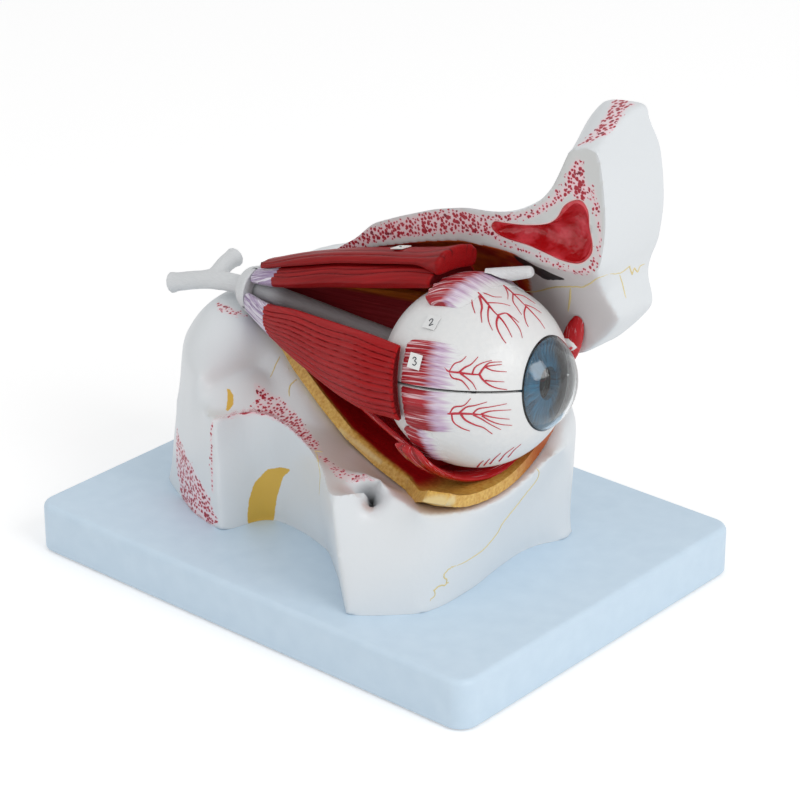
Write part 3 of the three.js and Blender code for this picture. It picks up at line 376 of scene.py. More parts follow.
@dataclass(frozen=True)
class MuscleGloss(Finish):
    """Cast vinyl painted in blood red and glazed: glossy, with darker grooves between the fibres.

    Streaks are pale hairs. The sinew is a white end of so many millimetres with a jagged edge, and ochre lies
    on what is further across the fibres than amber_from.
    """

    name: str = "glazed_red_vinyl"
    colour: str = "#84090D"
    light: str = "#A01216"
    groove: str = "#42060A"
    streak: str = "#E8C3CC"
    streaks: float = 0.0
    roughness: float = 0.42
    coat: float = 0.04
    shine: float = 0.13
    sinew: float = 0.0
    jag: float = 3.0
    amber_from: float = 0.0
    depth: float = 0.16

    def paint(self, tree: NodeTree) -> dict[str, Socket | float]:
        """Streaks run along the piece's own fibre values: x across and y along, in millimetres.

        Args:
            tree: The material's tree.

        Returns:
            What goes into the main shader.
        """
        fibre = put(tree, ATTRIBUTE, attribute_name="fibre", out="Vector")
        apart = put(tree, "ShaderNodeSeparateXYZ", {0: fibre}, out=None)
        long = put(tree, VECTOR_MATH, {0: fibre, 1: (0.9, 0.03, 1.0)}, operation="MULTIPLY")
        strand = put(tree, NOISE, {"Vector": long, "Scale": 1.0, "Detail": 5.0, "Roughness": 0.6})
        fine = put(tree, VECTOR_MATH, {0: fibre, 1: (2.4, 0.05, 1.0)}, operation="MULTIPLY")
        hair = put(tree, NOISE, {"Vector": fine, "Scale": 1.0, "Detail": 3.0})
        ridge = put(tree, ATTRIBUTE, attribute_name="ridge", out="Fac")
        tone = put(tree, RANGE, {"Value": strand, "From Min": 0.32, "From Max": 0.68})
        red = put(tree, MIX, {0: tone, 6: self.colour, 7: self.light}, **BLEND)
        deep = put(tree, RANGE, {"Value": ridge, "From Min": 0.55, "From Max": 0.05, "To Max": 0.85})
        red = put(tree, MIX, {0: deep, 6: red, 7: self.groove}, **BLEND)
        if self.amber_from:
            high = put(tree, RANGE, {"Value": apart.outputs[0], "From Min": self.amber_from,
                                     "From Max": self.amber_from + 2.5})
            glow = put(tree, MIX, {0: tone, 6: "#A04412", 7: "#D07820"}, **BLEND)
            red = put(tree, MIX, {0: high, 6: red, 7: glow}, **BLEND)
        if self.streaks:
            thin = put(tree, RANGE, {"Value": hair, "From Min": 0.66 - 0.12 * self.streaks,
                                     "From Max": 0.78 - 0.12 * self.streaks})
            red = put(tree, MIX, {0: thin, 6: red, 7: self.streak}, **BLEND)
        if self.sinew:
            tooth = put(tree, VECTOR_MATH, {0: fibre, 1: (0.55, 0.04, 1.0)}, operation="MULTIPLY")
            tooth = put(tree, NOISE, {"Vector": tooth, "Scale": 1.0, "Detail": 4.0})
            reach = put(tree, MATH, {0: tooth, 1: 2 * self.jag, 2: apart.outputs[1]}, operation="MULTIPLY_ADD")
            white = put(tree, RANGE, {"Value": reach, "From Min": self.sinew + self.jag + 0.35,
                                      "From Max": self.sinew + self.jag})
            stain = put(tree, RANGE, {"Value": strand, "From Min": 0.44, "From Max": 0.56})
            pale = put(tree, MIX, {0: stain, 6: "#A995B6", 7: "#E6E1EB"}, **BLEND)
            wisp = put(tree, RANGE, {"Value": hair, "From Min": 0.6, "From Max": 0.72})
            pale = put(tree, MIX, {0: wisp, 6: pale, 7: "#7A5878"}, **BLEND)
            red = put(tree, MIX, {0: white, 6: red, 7: pale}, **BLEND)
        both = put(tree, MATH, {0: hair, 1: 0.5, 2: strand}, operation="MULTIPLY_ADD")
        return {"Base Color": red, "Height": both}


@dataclass(frozen=True)
class PaintedPad(Finish):
    """Muscle ends painted on the ball: crimson with white strokes, lavender at the front, fading into white."""

    name: str = "brushed_tendon_paint"
    colour: str = "#A51C2A"
    roughness: float = 0.4
    coat: float = 0.1
    shine: float = 0.35
    depth: float = 0.25

    def paint(self, tree: NodeTree) -> dict[str, Socket | float]:
        """Strokes run along the fibres, and the value "fade" goes from 0 at the rear to 1 at the front.

        Args:
            tree: The material's tree.

        Returns:
            What goes into the main shader.
        """
        fibre = put(tree, ATTRIBUTE, attribute_name="fibre", out="Vector")
        fade = put(tree, ATTRIBUTE, attribute_name="fade", out="Fac")
        long = put(tree, VECTOR_MATH, {0: fibre, 1: (0.8, 0.03, 1.0)}, operation="MULTIPLY")
        strand = put(tree, NOISE, {"Vector": long, "Scale": 1.0, "Detail": 4.0})
        fine = put(tree, VECTOR_MATH, {0: fibre, 1: (1.5, 0.035, 1.0)}, operation="MULTIPLY")
        hair = put(tree, NOISE, {"Vector": fine, "Scale": 1.0, "Detail": 3.0})
        tone = put(tree, RANGE, {"Value": strand, "From Min": 0.35, "From Max": 0.65})
        red = put(tree, MIX, {0: tone, 6: "#8E101C", 7: "#B8202C"}, **BLEND)
        thin = put(tree, RANGE, {"Value": hair, "From Min": 0.54, "From Max": 0.63, "To Max": 0.9})
        red = put(tree, MIX, {0: thin, 6: red, 7: "#ECC9CF"}, **BLEND)
        lilac = put(tree, MIX, {0: tone, 6: "#BC9DBC", 7: "#E1D5E3"}, **BLEND)
        wine = put(tree, RANGE, {"Value": hair, "From Min": 0.52, "From Max": 0.66, "To Max": 0.7})
        lilac = put(tree, MIX, {0: wine, 6: lilac, 7: "#A06A8C"}, **BLEND)
        shift = put(tree, MATH, {0: hair, 1: 0.5, 2: fade}, operation="MULTIPLY_ADD")
        turn = put(tree, RANGE, {"Value": shift, "From Min": 0.7, "From Max": 0.88})
        paint = put(tree, MIX, {0: turn, 6: red, 7: lilac}, **BLEND)
        gone = put(tree, RANGE, {"Value": shift, "From Min": 0.98, "From Max": 1.16})
        paint = put(tree, MIX, {0: gone, 6: paint, 7: "#E4E5E6"}, **BLEND)
        depth = put(tree, MATH, {0: hair, 1: 0.6, 2: strand}, operation="MULTIPLY_ADD")
        return {"Base Color": paint, "Height": depth}


@dataclass(frozen=True)
class NerveWhite(Finish):
    """White vinyl of nerve and tendon: satin, faintly grey, with long soft streaks and painted shade where the
    value "shade" says.
    """

    name: str = "satin_white_vinyl"
    colour: str = "#DDE0E2"
    roughness: float = 0.4
    depth: float = 0.3

    def paint(self, tree: NodeTree) -> dict[str, Socket | float]:
        """Adds streaks of 2 mm that run with the nerve, and painted shade by the value "shade".

        Args:
            tree: The material's tree.

        Returns:
            What goes into the main shader.
        """
        streak = put(tree, NOISE, {"Vector": self.place(tree, (0.06, 0.5, 0.5)), "Detail": 3.0})
        tone = put(tree, MIX, {0: streak, 6: "#D2D5D8", 7: "#E6E8E9"}, **BLEND)
        # Painted shade: greyish mauve where the nerve runs inside the muscle cone.
        shade = put(tree, ATTRIBUTE, attribute_name="shade", out="Fac")
        tone = put(tree, MIX, {0: shade, 6: tone, 7: "#7E7274"}, **BLEND)
        return {"Base Color": tone, "Height": streak}


@dataclass(frozen=True)
class FatPaint(Finish):
    """Vinyl painted ochre and glazed: buttery, pale along its edge partly as paint and partly as painted
    highlight, orange where it thins out, red inside.
    """

    name: str = "glazed_ochre_vinyl"
    colour: str = "#C4902F"
    roughness: float = 0.34
    coat: float = 0.2
    shine: float = 0.35
    depth: float = 0.2

    def paint(self, tree: NodeTree) -> dict[str, Socket | float]:
        """Mixes ochre, cream, orange and red by soft clouds and by the piece's own point values.

        Args:
            tree: The material's tree.

        Returns:
            What goes into the main shader.
        """
        cream = put(tree, ATTRIBUTE, attribute_name="cream", out="Fac")
        orange = put(tree, ATTRIBUTE, attribute_name="orange", out="Fac")
        cloud = put(tree, NOISE, {"Vector": self.place(tree, 1 / 7), "Detail": 4.0})
        tone = put(tree, RANGE, {"Value": cloud, "From Min": 0.3, "From Max": 0.7})
        base = put(tree, MIX, {0: tone, 6: "#C48E32", 7: "#E3BB60"}, **BLEND)
        base = put(tree, MIX, {0: orange, 6: base, 7: "#A8501A"}, **BLEND)
        flesh = put(tree, ATTRIBUTE, attribute_name="flesh", out="Fac")
        blood = put(tree, MIX, {0: tone, 6: "#B01016", 7: "#CC1C24"}, **BLEND)
        base = put(tree, MIX, {0: flesh, 6: base, 7: blood}, **BLEND)
        # The value "cream" holds the cream patch and the pale edge line, which is partly painted highlight.
        base = put(tree, MIX, {0: cream, 6: base, 7: "#E2CC93"}, **BLEND)
        return {"Base Color": base, "Height": cloud}


@dataclass(frozen=True)
class ChoroidPaint(Finish):
    """The lining of the ball: vinyl painted brown-red outside, with vessels; its nearly black inside is painted
    shade of the closed ball.
    """

    name: str = "painted_choroid_vinyl"
    colour: str = "#6E1A1C"
    roughness: float = 0.42

    def paint(self, tree: NodeTree) -> dict[str, Socket | float]:
        """Adds a network of vessels about 5 mm apart over the ground colour.

        Args:
            tree: The material's tree.

        Returns:
            What goes into the main shader.
        """
        inner = put(tree, ATTRIBUTE, attribute_name="inner", out="Fac")
        spot = self.place(tree)
        net = put(tree, "ShaderNodeTexVoronoi", {"Vector": spot, "Scale": 0.2}, out="Distance",
                  feature="DISTANCE_TO_EDGE")
        line = put(tree, RANGE, {"Value": net, "From Min": 0.035, "From Max": 0.015})
        # The nearly black inner face is painted shade for the dark inside of the closed ball.
        ground = put(tree, MIX, {0: inner, 6: "#3A0E10", 7: "#1E0A08"}, **BLEND)
        paint = put(tree, MIX, {0: line, 6: ground, 7: "#8E1020"}, **BLEND)
        return {"Base Color": paint}


@dataclass(frozen=True)
class ClearAcrylic(Finish):
    """Injection-moulded clear acrylic, polished: bright reflections and a slight bend of what is behind."""

    name: str = "clear_acrylic"
    colour: str = "#F6FAFC"
    roughness: float = 0.03
    shine: float = 0.3
    ior: float = 1.49

    def paint(self, tree: NodeTree) -> dict[str, Socket | float]:
        """Lets light through, and lays painted reflection and shade into the plastic towards the value "rim".

        Args:
            tree: The material's tree.

        Returns:
            What goes into the main shader.
        """
        rim = put(tree, ATTRIBUTE, attribute_name="rim", out="Fac")
        cloud = put(tree, NOISE, {"Vector": self.place(tree, (0.3, 0.3, 0.08)), "Detail": 2.0})
        cloud = put(tree, RANGE, {"Value": cloud, "From Min": 0.42, "From Max": 0.62})
        # Painted reflection: browns and greys standing in for the surroundings seen in the dome.
        painted_reflection = put(tree, MIX, {0: cloud, 6: "#4C3B38", 7: "#93847F"}, **BLEND)
        # Painted shade: a near-black crescent where the value "rim" is lower.
        inner = put(tree, RANGE, {"Value": rim, "From Min": 0.72, "From Max": 0.35})
        painted_reflection = put(tree, MIX, {0: inner, 6: painted_reflection, 7: "#1C0F0D"}, **BLEND)
        tone = put(tree, MIX, {0: rim, 6: self.colour, 7: painted_reflection}, **BLEND)
        clear = put(tree, MATH, {0: rim, 1: -0.8, 2: 1.0}, operation="MULTIPLY_ADD")
        return {"Base Color": tone, "Transmission Weight": clear, "IOR": self.ior}


@dataclass(frozen=True)
class IrisPaint(Finish):
    """Printed and hand-tinted iris disc: blue, with radial fibres, a darker rim and painted shade on its side
    towards the nose.
    """

    name: str = "tinted_iris_vinyl"
    colour: str = "#5E86A0"
    shine: float = 0.2
    depth: float = 0.25

    def paint(self, tree: NodeTree) -> dict[str, Socket | float]:
        """Colours follow the value "fibre": x and z lie on a circle round the pupil, y runs outwards.

        Args:
            tree: The material's tree.

        Returns:
            What goes into the main shader.
        """
        fibre = put(tree, ATTRIBUTE, attribute_name="fibre", out="Vector")
        apart = put(tree, "ShaderNodeSeparateXYZ", {0: fibre}, out=None)
        ray = put(tree, VECTOR_MATH, {0: fibre, 1: (1.1, 0.12, 1.1)}, operation="MULTIPLY")
        strand = put(tree, NOISE, {"Vector": ray, "Scale": 1.0, "Detail": 4.0})
        tone = put(tree, RANGE, {"Value": strand, "From Min": 0.35, "From Max": 0.65})
        base = put(tree, MIX, {0: tone, 6: "#0B3852", 7: "#2F7698"}, **BLEND)
        rim = put(tree, RANGE, {"Value": apart.outputs[1], "From Min": 8.5, "From Max": 11.5, "To Max": 0.85})
        base = put(tree, MIX, {0: rim, 6: base, 7: "#14242E"}, **BLEND)
        # Painted shade: the outer part of the iris darkens towards the nose.
        medial = put(tree, RANGE, {"Value": apart.outputs[0], "From Min": 1.0, "From Max": 10.0})
        outer = put(tree, RANGE, {"Value": apart.outputs[1], "From Min": 3.0, "From Max": 7.0})
        shade = put(tree, MATH, {0: medial, 1: outer}, operation="MULTIPLY")
        base = put(tree, MIX, {0: shade, 6: base, 7: "#150C0C"}, **BLEND)
        return {"Base Color": base, "Height": strand}


BOARD, STEEL, BONE, NERVE, FAT = LacqueredBoard(), PlatedSteel(), CastBone(), NerveWhite(), FatPaint()
CHOROID, CLEAR, IRIS, PAD = ChoroidPaint(), ClearAcrylic(), IrisPaint(), PaintedPad()
# Moulded nitrile rubber: near black and dull; its grain of 0.5 mm is drawn coarser than the real one to show.
RUBBER = Clouded("moulded_rubber", "#2A2B2D", 0.75, depth=0.05, turns=2.0)
# Rotation-moulded white vinyl, wiped with gloss: an almost even white, softly clouded over 12 mm.
SCLERA = Clouded("glossed_white_vinyl", "#E4E5E6", 0.34, coat=0.1, depth=0.25, low="#E0E2E3", high="#E9E9E8",
                 turns=1 / 12, detail=3.0)
# White paper sticker: matt and bright, with a faint tooth of 0.3 mm.
PAPER = Clouded("sticker_paper", "#F0F1EE", 0.65, depth=0.02, turns=3.0, detail=3.0)
# Soft clear silicone that its neighbours wet: it hardly reflects, so that the pupil looks dark.
GEL = ClearAcrylic(name="clear_soft_silicone", shine=0.2, ior=1.12)
FLESH = MuscleGloss()
# The two removable muscles end in white sinew behind, of different lengths.
LATERAL_FLESH = MuscleGloss(
    name="bright_red_vinyl_with_sinew", colour="#960C11", light="#B2161A", sinew=19.0, jag=2.6, shine=0.1)
SUPERIOR_FLESH = MuscleGloss(
    name="deep_red_vinyl_with_sinew", colour="#84090D", light="#A41418", sinew=16.5, jag=2.2)
# Under the ball the glaze lies thick and looks wet.
WET_FLESH = MuscleGloss(
    name="wet_red_vinyl", colour="#AE0C14", light="#C81822", streaks=0.35, roughness=0.2, coat=0.5)
# The muscles on the nose side are duller, with ochre brushed over their upper edge or all of them.
DARK_FLESH = MuscleGloss(
    name="shaded_red_vinyl", colour="#8A1A20", light="#A8343A", groove="#2A0508", roughness=0.5, amber_from=7.0)
AMBER_FLESH = MuscleGloss(name="amber_vinyl", colour="#7E300E", light="#A85214", groove="#3A1208", roughness=0.5)
# Paint laid on with a fine brush stands a little proud and is uneven in tone over 3 mm; so is printed ink.
VESSEL = Clouded("brushed_crimson_line", "#B31129", 0.35, low="#B31129", high="#C93A4A", turns=1 / 3)
SUTURE = Clouded("brushed_ochre_line", "#D8C176", 0.35, low="#D8C176", high="#E6D8A4", turns=1 / 3)
INK = Clouded("printed_black_ink", "#23252E", 0.5, low="#23252E", high="#30343E", turns=1 / 3)
# The pins in the seam are blackened, so that they hardly shine.
BLACKENED = PlatedSteel(name="blackened_steel", colour="#3A3C40")


# ---------------------------------------------------------------- meshes

def linked(name: str, data: bpy.types.ID) -> Piece:
    """Makes an object of some data and links it to the scene.

    Args:
        name: The object's name.
        data: Its mesh, lamp or camera.

    Returns:
        The object.
    """
    made = bpy.data.objects.new(name, data)
    bpy.context.scene.collection.objects.link(made)
    return made


def tie(made: Piece, body: Body, nodes: tuple[str, ...]) -> None:
    """Ties a piece to the part.

    Args:
        made: The piece.
        body: The body it rides on.
        nodes: The nodes of the part that it stands for.
    """
    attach(made, body.value)
    if nodes:
        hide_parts(*nodes)


def unit(way: Array | tuple[float, ...]) -> Array:
    """Gives a direction the length 1."""
    return np.asarray(way, float) / np.linalg.norm(way)


@dataclass
class Shape:
    """Points in millimetres, faces, and values carried by the points."""

    points: Array
    faces: list
    values: dict[str, Array] = field(default_factory=dict)

    def carve(self, *cutters: "Shape") -> "Shape":
        """Cuts other closed shapes out of this one.

        Args:
            *cutters: The shapes to take away.

        Returns:
            The shape that is left, with its values.
        """
        whole = to_object("carve_body", self)
        tools = [to_object(f"carve_tool_{i}", cutter) for i, cutter in enumerate(cutters)]
        for tool in tools:
            cut = whole.modifiers.new("cut", "BOOLEAN")
            cut.object, cut.operation, cut.solver = tool, "DIFFERENCE", "EXACT"
        mesh = bpy.data.meshes.new_from_object(whole.evaluated_get(bpy.context.evaluated_depsgraph_get()))
        left = from_mesh(mesh, tuple(self.values))
        for gone in (whole, *tools):
            bpy.data.objects.remove(gone)
        return left


def to_object(name: str, shape: Shape) -> Piece:
    """Makes a linked object of a shape, with doubles merged and faces turned outwards.

    Args:
        name: The object's name.
        shape: The shape in millimetres.

    Returns:
        The new object.
    """
    mesh = bpy.data.meshes.new(name)
    mesh.from_pydata((shape.points * MM).tolist(), [], shape.faces)
    for key, value in shape.values.items():
        kind = "FLOAT" if value.ndim == 1 else "FLOAT_VECTOR"
        layer = mesh.attributes.new(key, kind, "POINT")
        layer.data.foreach_set("value" if value.ndim == 1 else "vector", value.astype(np.float32).ravel())
    work = bmesh.new()
    work.from_mesh(mesh)
    bmesh.ops.remove_doubles(work, verts=work.verts, dist=MERGE)
    bmesh.ops.recalc_face_normals(work, faces=work.faces)
    work.to_mesh(mesh)
    work.free()
    return linked(name, mesh)


def from_mesh(mesh: bpy.types.Mesh, keys: tuple[str, ...] = ()) -> Shape:
    """Reads a mesh back as a shape.

    Args:
        mesh: The mesh, in metres.
        keys: The point values to keep.

    Returns:
        The shape in millimetres.
    """
    points = np.empty(len(mesh.vertices) * 3, np.float32)
    mesh.vertices.foreach_get("co", points)
    values = {}
    for key in keys:
        layer = mesh.attributes[key]
        wide = 1 if layer.data_type == "FLOAT" else 3
        data = np.empty(len(mesh.vertices) * wide, np.float32)
        layer.data.foreach_get("value" if wide == 1 else "vector", data)
        values[key] = data if wide == 1 else data.reshape(-1, 3)
    faces = [tuple(face.vertices) for face in mesh.polygons]
    return Shape(points.reshape(-1, 3).astype(float) / MM, faces, values)


def finish_piece(name: str, shape: Shape, finish: Finish, body: Body, nodes: tuple[str, ...] = (),
                 crease: float = 40.0) -> Piece:
    """Makes a piece, shades and dresses it, and ties it to its body.

    Args:
        name: The piece's name.
        shape: Its shape in millimetres.
        finish: Its finish.
        body: The body it rides on.
        nodes: The nodes of the part that it stands for.
        crease: Angle in degrees above which an edge stays sharp.

    Returns:
        The piece.
    """
    made = to_object(name, shape)
    made.data.shade_smooth()
    made.data.set_sharp_from_angle(angle=math.radians(crease))
    made.data.materials.append(finish.material())
    tie(made, body, nodes)
    log.info("%s: %d faces, %s", name, len(made.data.polygons), finish.name)
    return made


class Cap(Enum):
    """How the first and last ring of a skin are closed."""

    FAN = "fan about the middle"
    PAIRS = "strip between the ring's two facing runs"


def skin(rings: Array, values: dict[str, Array] | None = None, cap: Cap = Cap.FAN) -> Shape:
    """Skins closed rings of points one after another.

    Args:
        rings: Points as rows of rings.
        values: Point values in the same rows.
        cap: How the ends are closed.

    Returns:
        The closed shape.
    """
    rows, cols = rings.shape[:2]
    index = np.arange(rows * cols).reshape(rows, cols)
    after = np.roll(index, -1, axis=1)
    quads = np.stack([index[:-1], after[:-1], after[1:], index[1:]], axis=-1).reshape(-1, 4)
    faces = quads.tolist()
    points = rings.reshape(-1, 3)
    carried = {key: value.reshape(rows * cols, *value.shape[2:]) for key, value in (values or {}).items()}
    if cap is Cap.PAIRS:
        half = np.arange(cols // 2 - 1)
        for row in (0, rows - 1):
            faces += (row * cols + np.stack([half, half + 1, cols - 2 - half, cols - 1 - half], -1)).tolist()
    else:
        for row, flip in ((0, False), (rows - 1, True)):
            middle = len(points)
            points = np.vstack([points, rings[row].mean(axis=0)])
            for key, value in (values or {}).items():
                carried[key] = np.concatenate([carried[key], value[row].mean(axis=0)[None]])
            for a, b in zip(index[row], after[row]):
                faces.append([middle, int(b), int(a)] if flip else [middle, int(a), int(b)])
    return Shape(points, faces, carried)


def smooth_step(value: Array | float, low: float, high: float) -> Array:
    """Rises smoothly from 0 at low to 1 at high."""
    t = np.clip((np.asarray(value, float) - low) / (high - low), 0, 1)
    return t * t * (3 - 2 * t)


def between(stations: Array, x: Array) -> Array:
    """Reads a table of stations at any x, straight from row to row."""
    return np.stack([np.interp(x, stations[:, 0], stations[:, i]) for i in range(1, stations.shape[1])], axis=-1)


def turned(profile: Array, origin: Array, axis: Array, segments: int = 32) -> Shape:
    """Turns a profile about an axis.

    Args:
        profile: Rows of distance along the axis and radius.
        origin: Point on the axis.
        axis: The axis.
        segments: Steps round.

    Returns:
        The closed shape.
    """
    along = unit(axis)
    side = unit(np.cross(along, [0.0, 0.3, 1.0]))
    up = np.cross(along, side)
    turn = np.linspace(0, 2 * np.pi, segments, endpoint=False)
    wheel = np.cos(turn)[:, None] * side + np.sin(turn)[:, None] * up
    rings = np.asarray(origin) + profile[:, :1, None] * along + profile[:, 1:2, None] * wheel[None]
    return skin(rings)


def rod(start: Array, end: Array, radius: float, edge: float = 0.3) -> Shape:
    """A round bar with eased ends.

    Args:
        start: Centre of one end.
        end: Centre of the other.
        radius: Its radius.
        edge: Width of the eased edges.

    Returns:
        The closed shape.
    """
    length = float(np.linalg.norm(np.asarray(end) - start))
    profile = np.array([[0, radius - edge], [edge, radius], [length - edge, radius], [length, radius - edge]])
    return turned(profile, start, np.asarray(end) - start)


# ---------------------------------------------------------------- geometry trees

class Trees:
    """Geometry trees for what repeats or follows a path."""

    @staticmethod
    def start(name: str, sizes: dict[str, str]) -> tuple[NodeTree, Node, Node]:
        """Begins a tree with a geometry in and out and named inputs.

        Args:
            name: The tree's name.
            sizes: Socket types by input name.

        Returns:
            The tree, its input node and its output node.
        """
        tree = bpy.data.node_groups.new(name, "GeometryNodeTree")
        tree.interface.new_socket("Geometry", in_out="INPUT", socket_type="NodeSocketGeometry")
        tree.interface.new_socket("Geometry", in_out="OUTPUT", socket_type="NodeSocketGeometry")
        for key, kind in sizes.items():
            tree.interface.new_socket(key, in_out="INPUT", socket_type=kind)
        return tree, tree.nodes.new("NodeGroupInput"), tree.nodes.new("NodeGroupOutput")

    @staticmethod
    def close(tree: NodeTree, geometry: Socket, given: Node, end: Node) -> None:
        """Ends a tree in Realize Instances and Set Material.

        Args:
            tree: The tree.
            geometry: What it made.
            given: Its input node.
            end: Its output node.
        """
        real = put(tree, "GeometryNodeRealizeInstances", {"Geometry": geometry})
        done = put(tree, "GeometryNodeSetMaterial", {"Geometry": real, "Material": given.outputs["Material"]})
        tree.links.new(done, end.inputs[0])

    @classmethod
    def lines(cls) -> NodeTree:
        """Tubes along the edges of a mesh, as thick as its point value "thick", with a wavy course.

        Returns:
            The tree, the same one each time.
        """
        known = bpy.data.node_groups.get("brushed_lines")
        if known:
            return known
        tree, given, end = cls.start("brushed_lines", {
            "Thickness": "NodeSocketFloat", "Sides": "NodeSocketInt", "Material": "NodeSocketMaterial"})
        course = put(tree, "GeometryNodeMeshToCurve", {"Mesh": given.outputs["Geometry"]})
        thick = put(tree, "GeometryNodeInputNamedAttribute", {"Name": "thick"}, data_type="FLOAT")
        radius = put(tree, MATH, {0: thick, 1: given.outputs["Thickness"]}, operation="MULTIPLY")
        round_ = put(tree, "GeometryNodeCurvePrimitiveCircle",
                     {"Resolution": given.outputs["Sides"], "Radius": 1.0})
        tube = put(tree, "GeometryNodeCurveToMesh", {
            "Curve": course, "Profile Curve": round_, "Scale": radius, "Fill Caps": True})
        cls.close(tree, tube, given, end)
        return tree

    @classmethod
    def places(cls) -> NodeTree:
        """A master piece set at every point of a mesh, each with a seeded turn of its own.

        Returns:
            The tree, the same one each time.
        """
        known = bpy.data.node_groups.get("repeated_places")
        if known:
            return known
        tree, given, end = cls.start("repeated_places", {
            "Master": "NodeSocketObject", "Turn": "NodeSocketFloat", "Seed": "NodeSocketInt",
            "Material": "NodeSocketMaterial"})
        master = put(tree, "GeometryNodeObjectInfo", {"Object": given.outputs["Master"]}, out="Geometry")
        spin = put(tree, "FunctionNodeRandomValue", {3: given.outputs["Turn"], "Seed": given.outputs["Seed"]},
                   out=1, data_type="FLOAT")
        turn = put(tree, "ShaderNodeCombineXYZ", {2: spin})
        spread = put(tree, "GeometryNodeInstanceOnPoints", {
            "Points": given.outputs["Geometry"], "Instance": master, "Rotation": turn})
        cls.close(tree, spread, given, end)
        return tree

    @staticmethod
    def grow(name: str, base: Piece, tree: NodeTree, inputs: dict[str, object], body: Body,
             slot: Slot, nodes: tuple[str, ...] = ()) -> Piece:
        """Evaluates a tree on a base object and makes one plain piece of the result.

        Args:
            name: The piece's name.
            base: The object that carries the tree; it is removed.
            tree: The geometry tree.
            inputs: Values by input name.
            body: The body the piece rides on.
            slot: The record's slot; not used.
            nodes: The nodes of the part that it stands for.

        Returns:
            The finished piece.
        """
        modifier = base.modifiers.new("tree", "NODES")
        modifier.node_group = tree
        ids = {item.name: item.identifier for item in tree.interface.items_tree
               if item.item_type == "SOCKET" and item.in_out == "INPUT"}
        for key, value in inputs.items():
            modifier[ids[key]] = value
        mesh = bpy.data.meshes.new_from_object(base.evaluated_get(bpy.context.evaluated_depsgraph_get()))
        base.modifiers.remove(modifier)
        bpy.data.objects.remove(base)
        mesh.name = name
        mesh.shade_smooth()
        mesh.set_sharp_from_angle(angle=math.radians(40))
        made = linked(name, mesh)
        tie(made, body, nodes)
        log.info("%s: %d faces from %s", name, len(mesh.polygons), tree.name)
        return made


def paint_lines(name: str, strokes: list[tuple[Array, Array]], finish: Finish, body: Body, slot: Slot,
                sides: int = 6) -> Piece:
    """Lays brushed lines along strokes.

    Args:
        name: The piece's name.
        strokes: For each stroke its points and its half widths, in millimetres.
        finish: The paint.
        body: The body they ride on.
        slot: The record's slot.
        sides: Sides of each line.

    Returns:
        The piece that holds all lines.
    """
    points, edges, thick = [], [], []
    for course, widths in strokes:
        first = len(points)
        points += (course * MM).tolist()
        thick += (np.asarray(widths) * MM).tolist()
        edges += [(i, i + 1) for i in range(first, first + len(course) - 1)]
    mesh = bpy.data.meshes.new(name)
    mesh.from_pydata(points, edges, [])
    mesh.attributes.new("thick", "FLOAT", "POINT").data.foreach_set("value", thick)
    base = linked(f"{name}_course", mesh)
    inputs = {"Thickness": 1.0, "Sides": sides, "Material": finish.material()}
    return Trees.grow(name, base, Trees.lines(), inputs, body, slot)


def repeat(name: str, master: Shape, spots: list[tuple[float, float, float]], turn: float, finish: Finish,
           body: Body, slot: Slot, nodes: tuple[str, ...]) -> Piece:
    """Sets a master shape at several spots by the tree for places.

    Args:
        name: The piece's name.
        master: The shape about its own origin.
        spots: Where each one goes.
        turn: Greatest turn about the vertical, in radians.
        finish: Its finish.
        body: The body they ride on.
        slot: The record's slot.
        nodes: The nodes they stand for.

    Returns:
        The piece that holds them all.
    """
    source = to_object(f"{name}_master", master)
    mesh = bpy.data.meshes.new(name)
    mesh.from_pydata((np.array(spots) * MM).tolist(), [], [])
    base = linked(f"{name}_spots", mesh)
    inputs = {"Master": source, "Turn": turn, "Seed": 4, "Material": finish.material()}
    made = Trees.grow(name, base, Trees.places(), inputs, body, slot, nodes)
    bpy.data.objects.remove(source)
    return made


# ---------------------------------------------------------------- camera and sight

@dataclass
class Viewpoint:
    """The photograph's camera, and what it sees through a point of the picture."""

    eye: tuple[float, float, float] = (738.3, -843.5, 596.3)
    azimuth: float = 40.8103
    elevation: float = 24.9303
    lens: float = 132.33
    sensor: float = 36.0
    frame_px: float = 800.0

    def basis(self) -> Array:
        """Right, up and back of the camera as rows.

        Returns:
            Three unit rows.
        """
        a, e = math.radians(self.azimuth), math.radians(self.elevation)
        back = np.array([math.sin(a) * math.cos(e), -math.cos(a) * math.cos(e), math.sin(e)])
        right = np.array([math.cos(a), math.sin(a), 0.0])
        return np.array([right, np.cross(back, right), back])

    def ray(self, px: float, py: float) -> Array:
        """Direction through a point of the picture.

        Args:
            px: Picture point from the left.
            py: Picture point from the top.

        Returns:
            The unit direction away from the camera.
        """
        reach = self.lens / self.sensor * self.frame_px
        half = self.frame_px / 2
        way = np.array([(px - half) / reach, (half - py) / reach, -1.0]) @ self.basis()
        return unit(way)

    def hit(self, tree: BVHTree, px: float, py: float) -> tuple[Array, Array] | None:
        """Finds where the ray through a point of the picture meets a surface.

        Args:
            tree: The surface's search tree, in metres.
            px: Picture point from the left.
            py: Picture point from the top.

        Returns:
            The place in millimetres and the surface's normal, or None.
        """
        place, normal, _, _ = tree.ray_cast(Vector(self.eye) * MM, Vector(self.ray(px, py)))
        return None if place is None else (np.array(place) / MM, np.array(normal))

    def build(self) -> None:
        """Makes the camera of the scene."""
        camera = bpy.data.cameras.new("camera")
        camera.lens, camera.sensor_width, camera.clip_end = self.lens, self.sensor, 20.0
        made = linked("camera", camera)
        made.matrix_world = Matrix.Translation(Vector(self.eye) * MM) @ Matrix(self.basis()).transposed().to_4x4()
        bpy.context.scene.camera = made


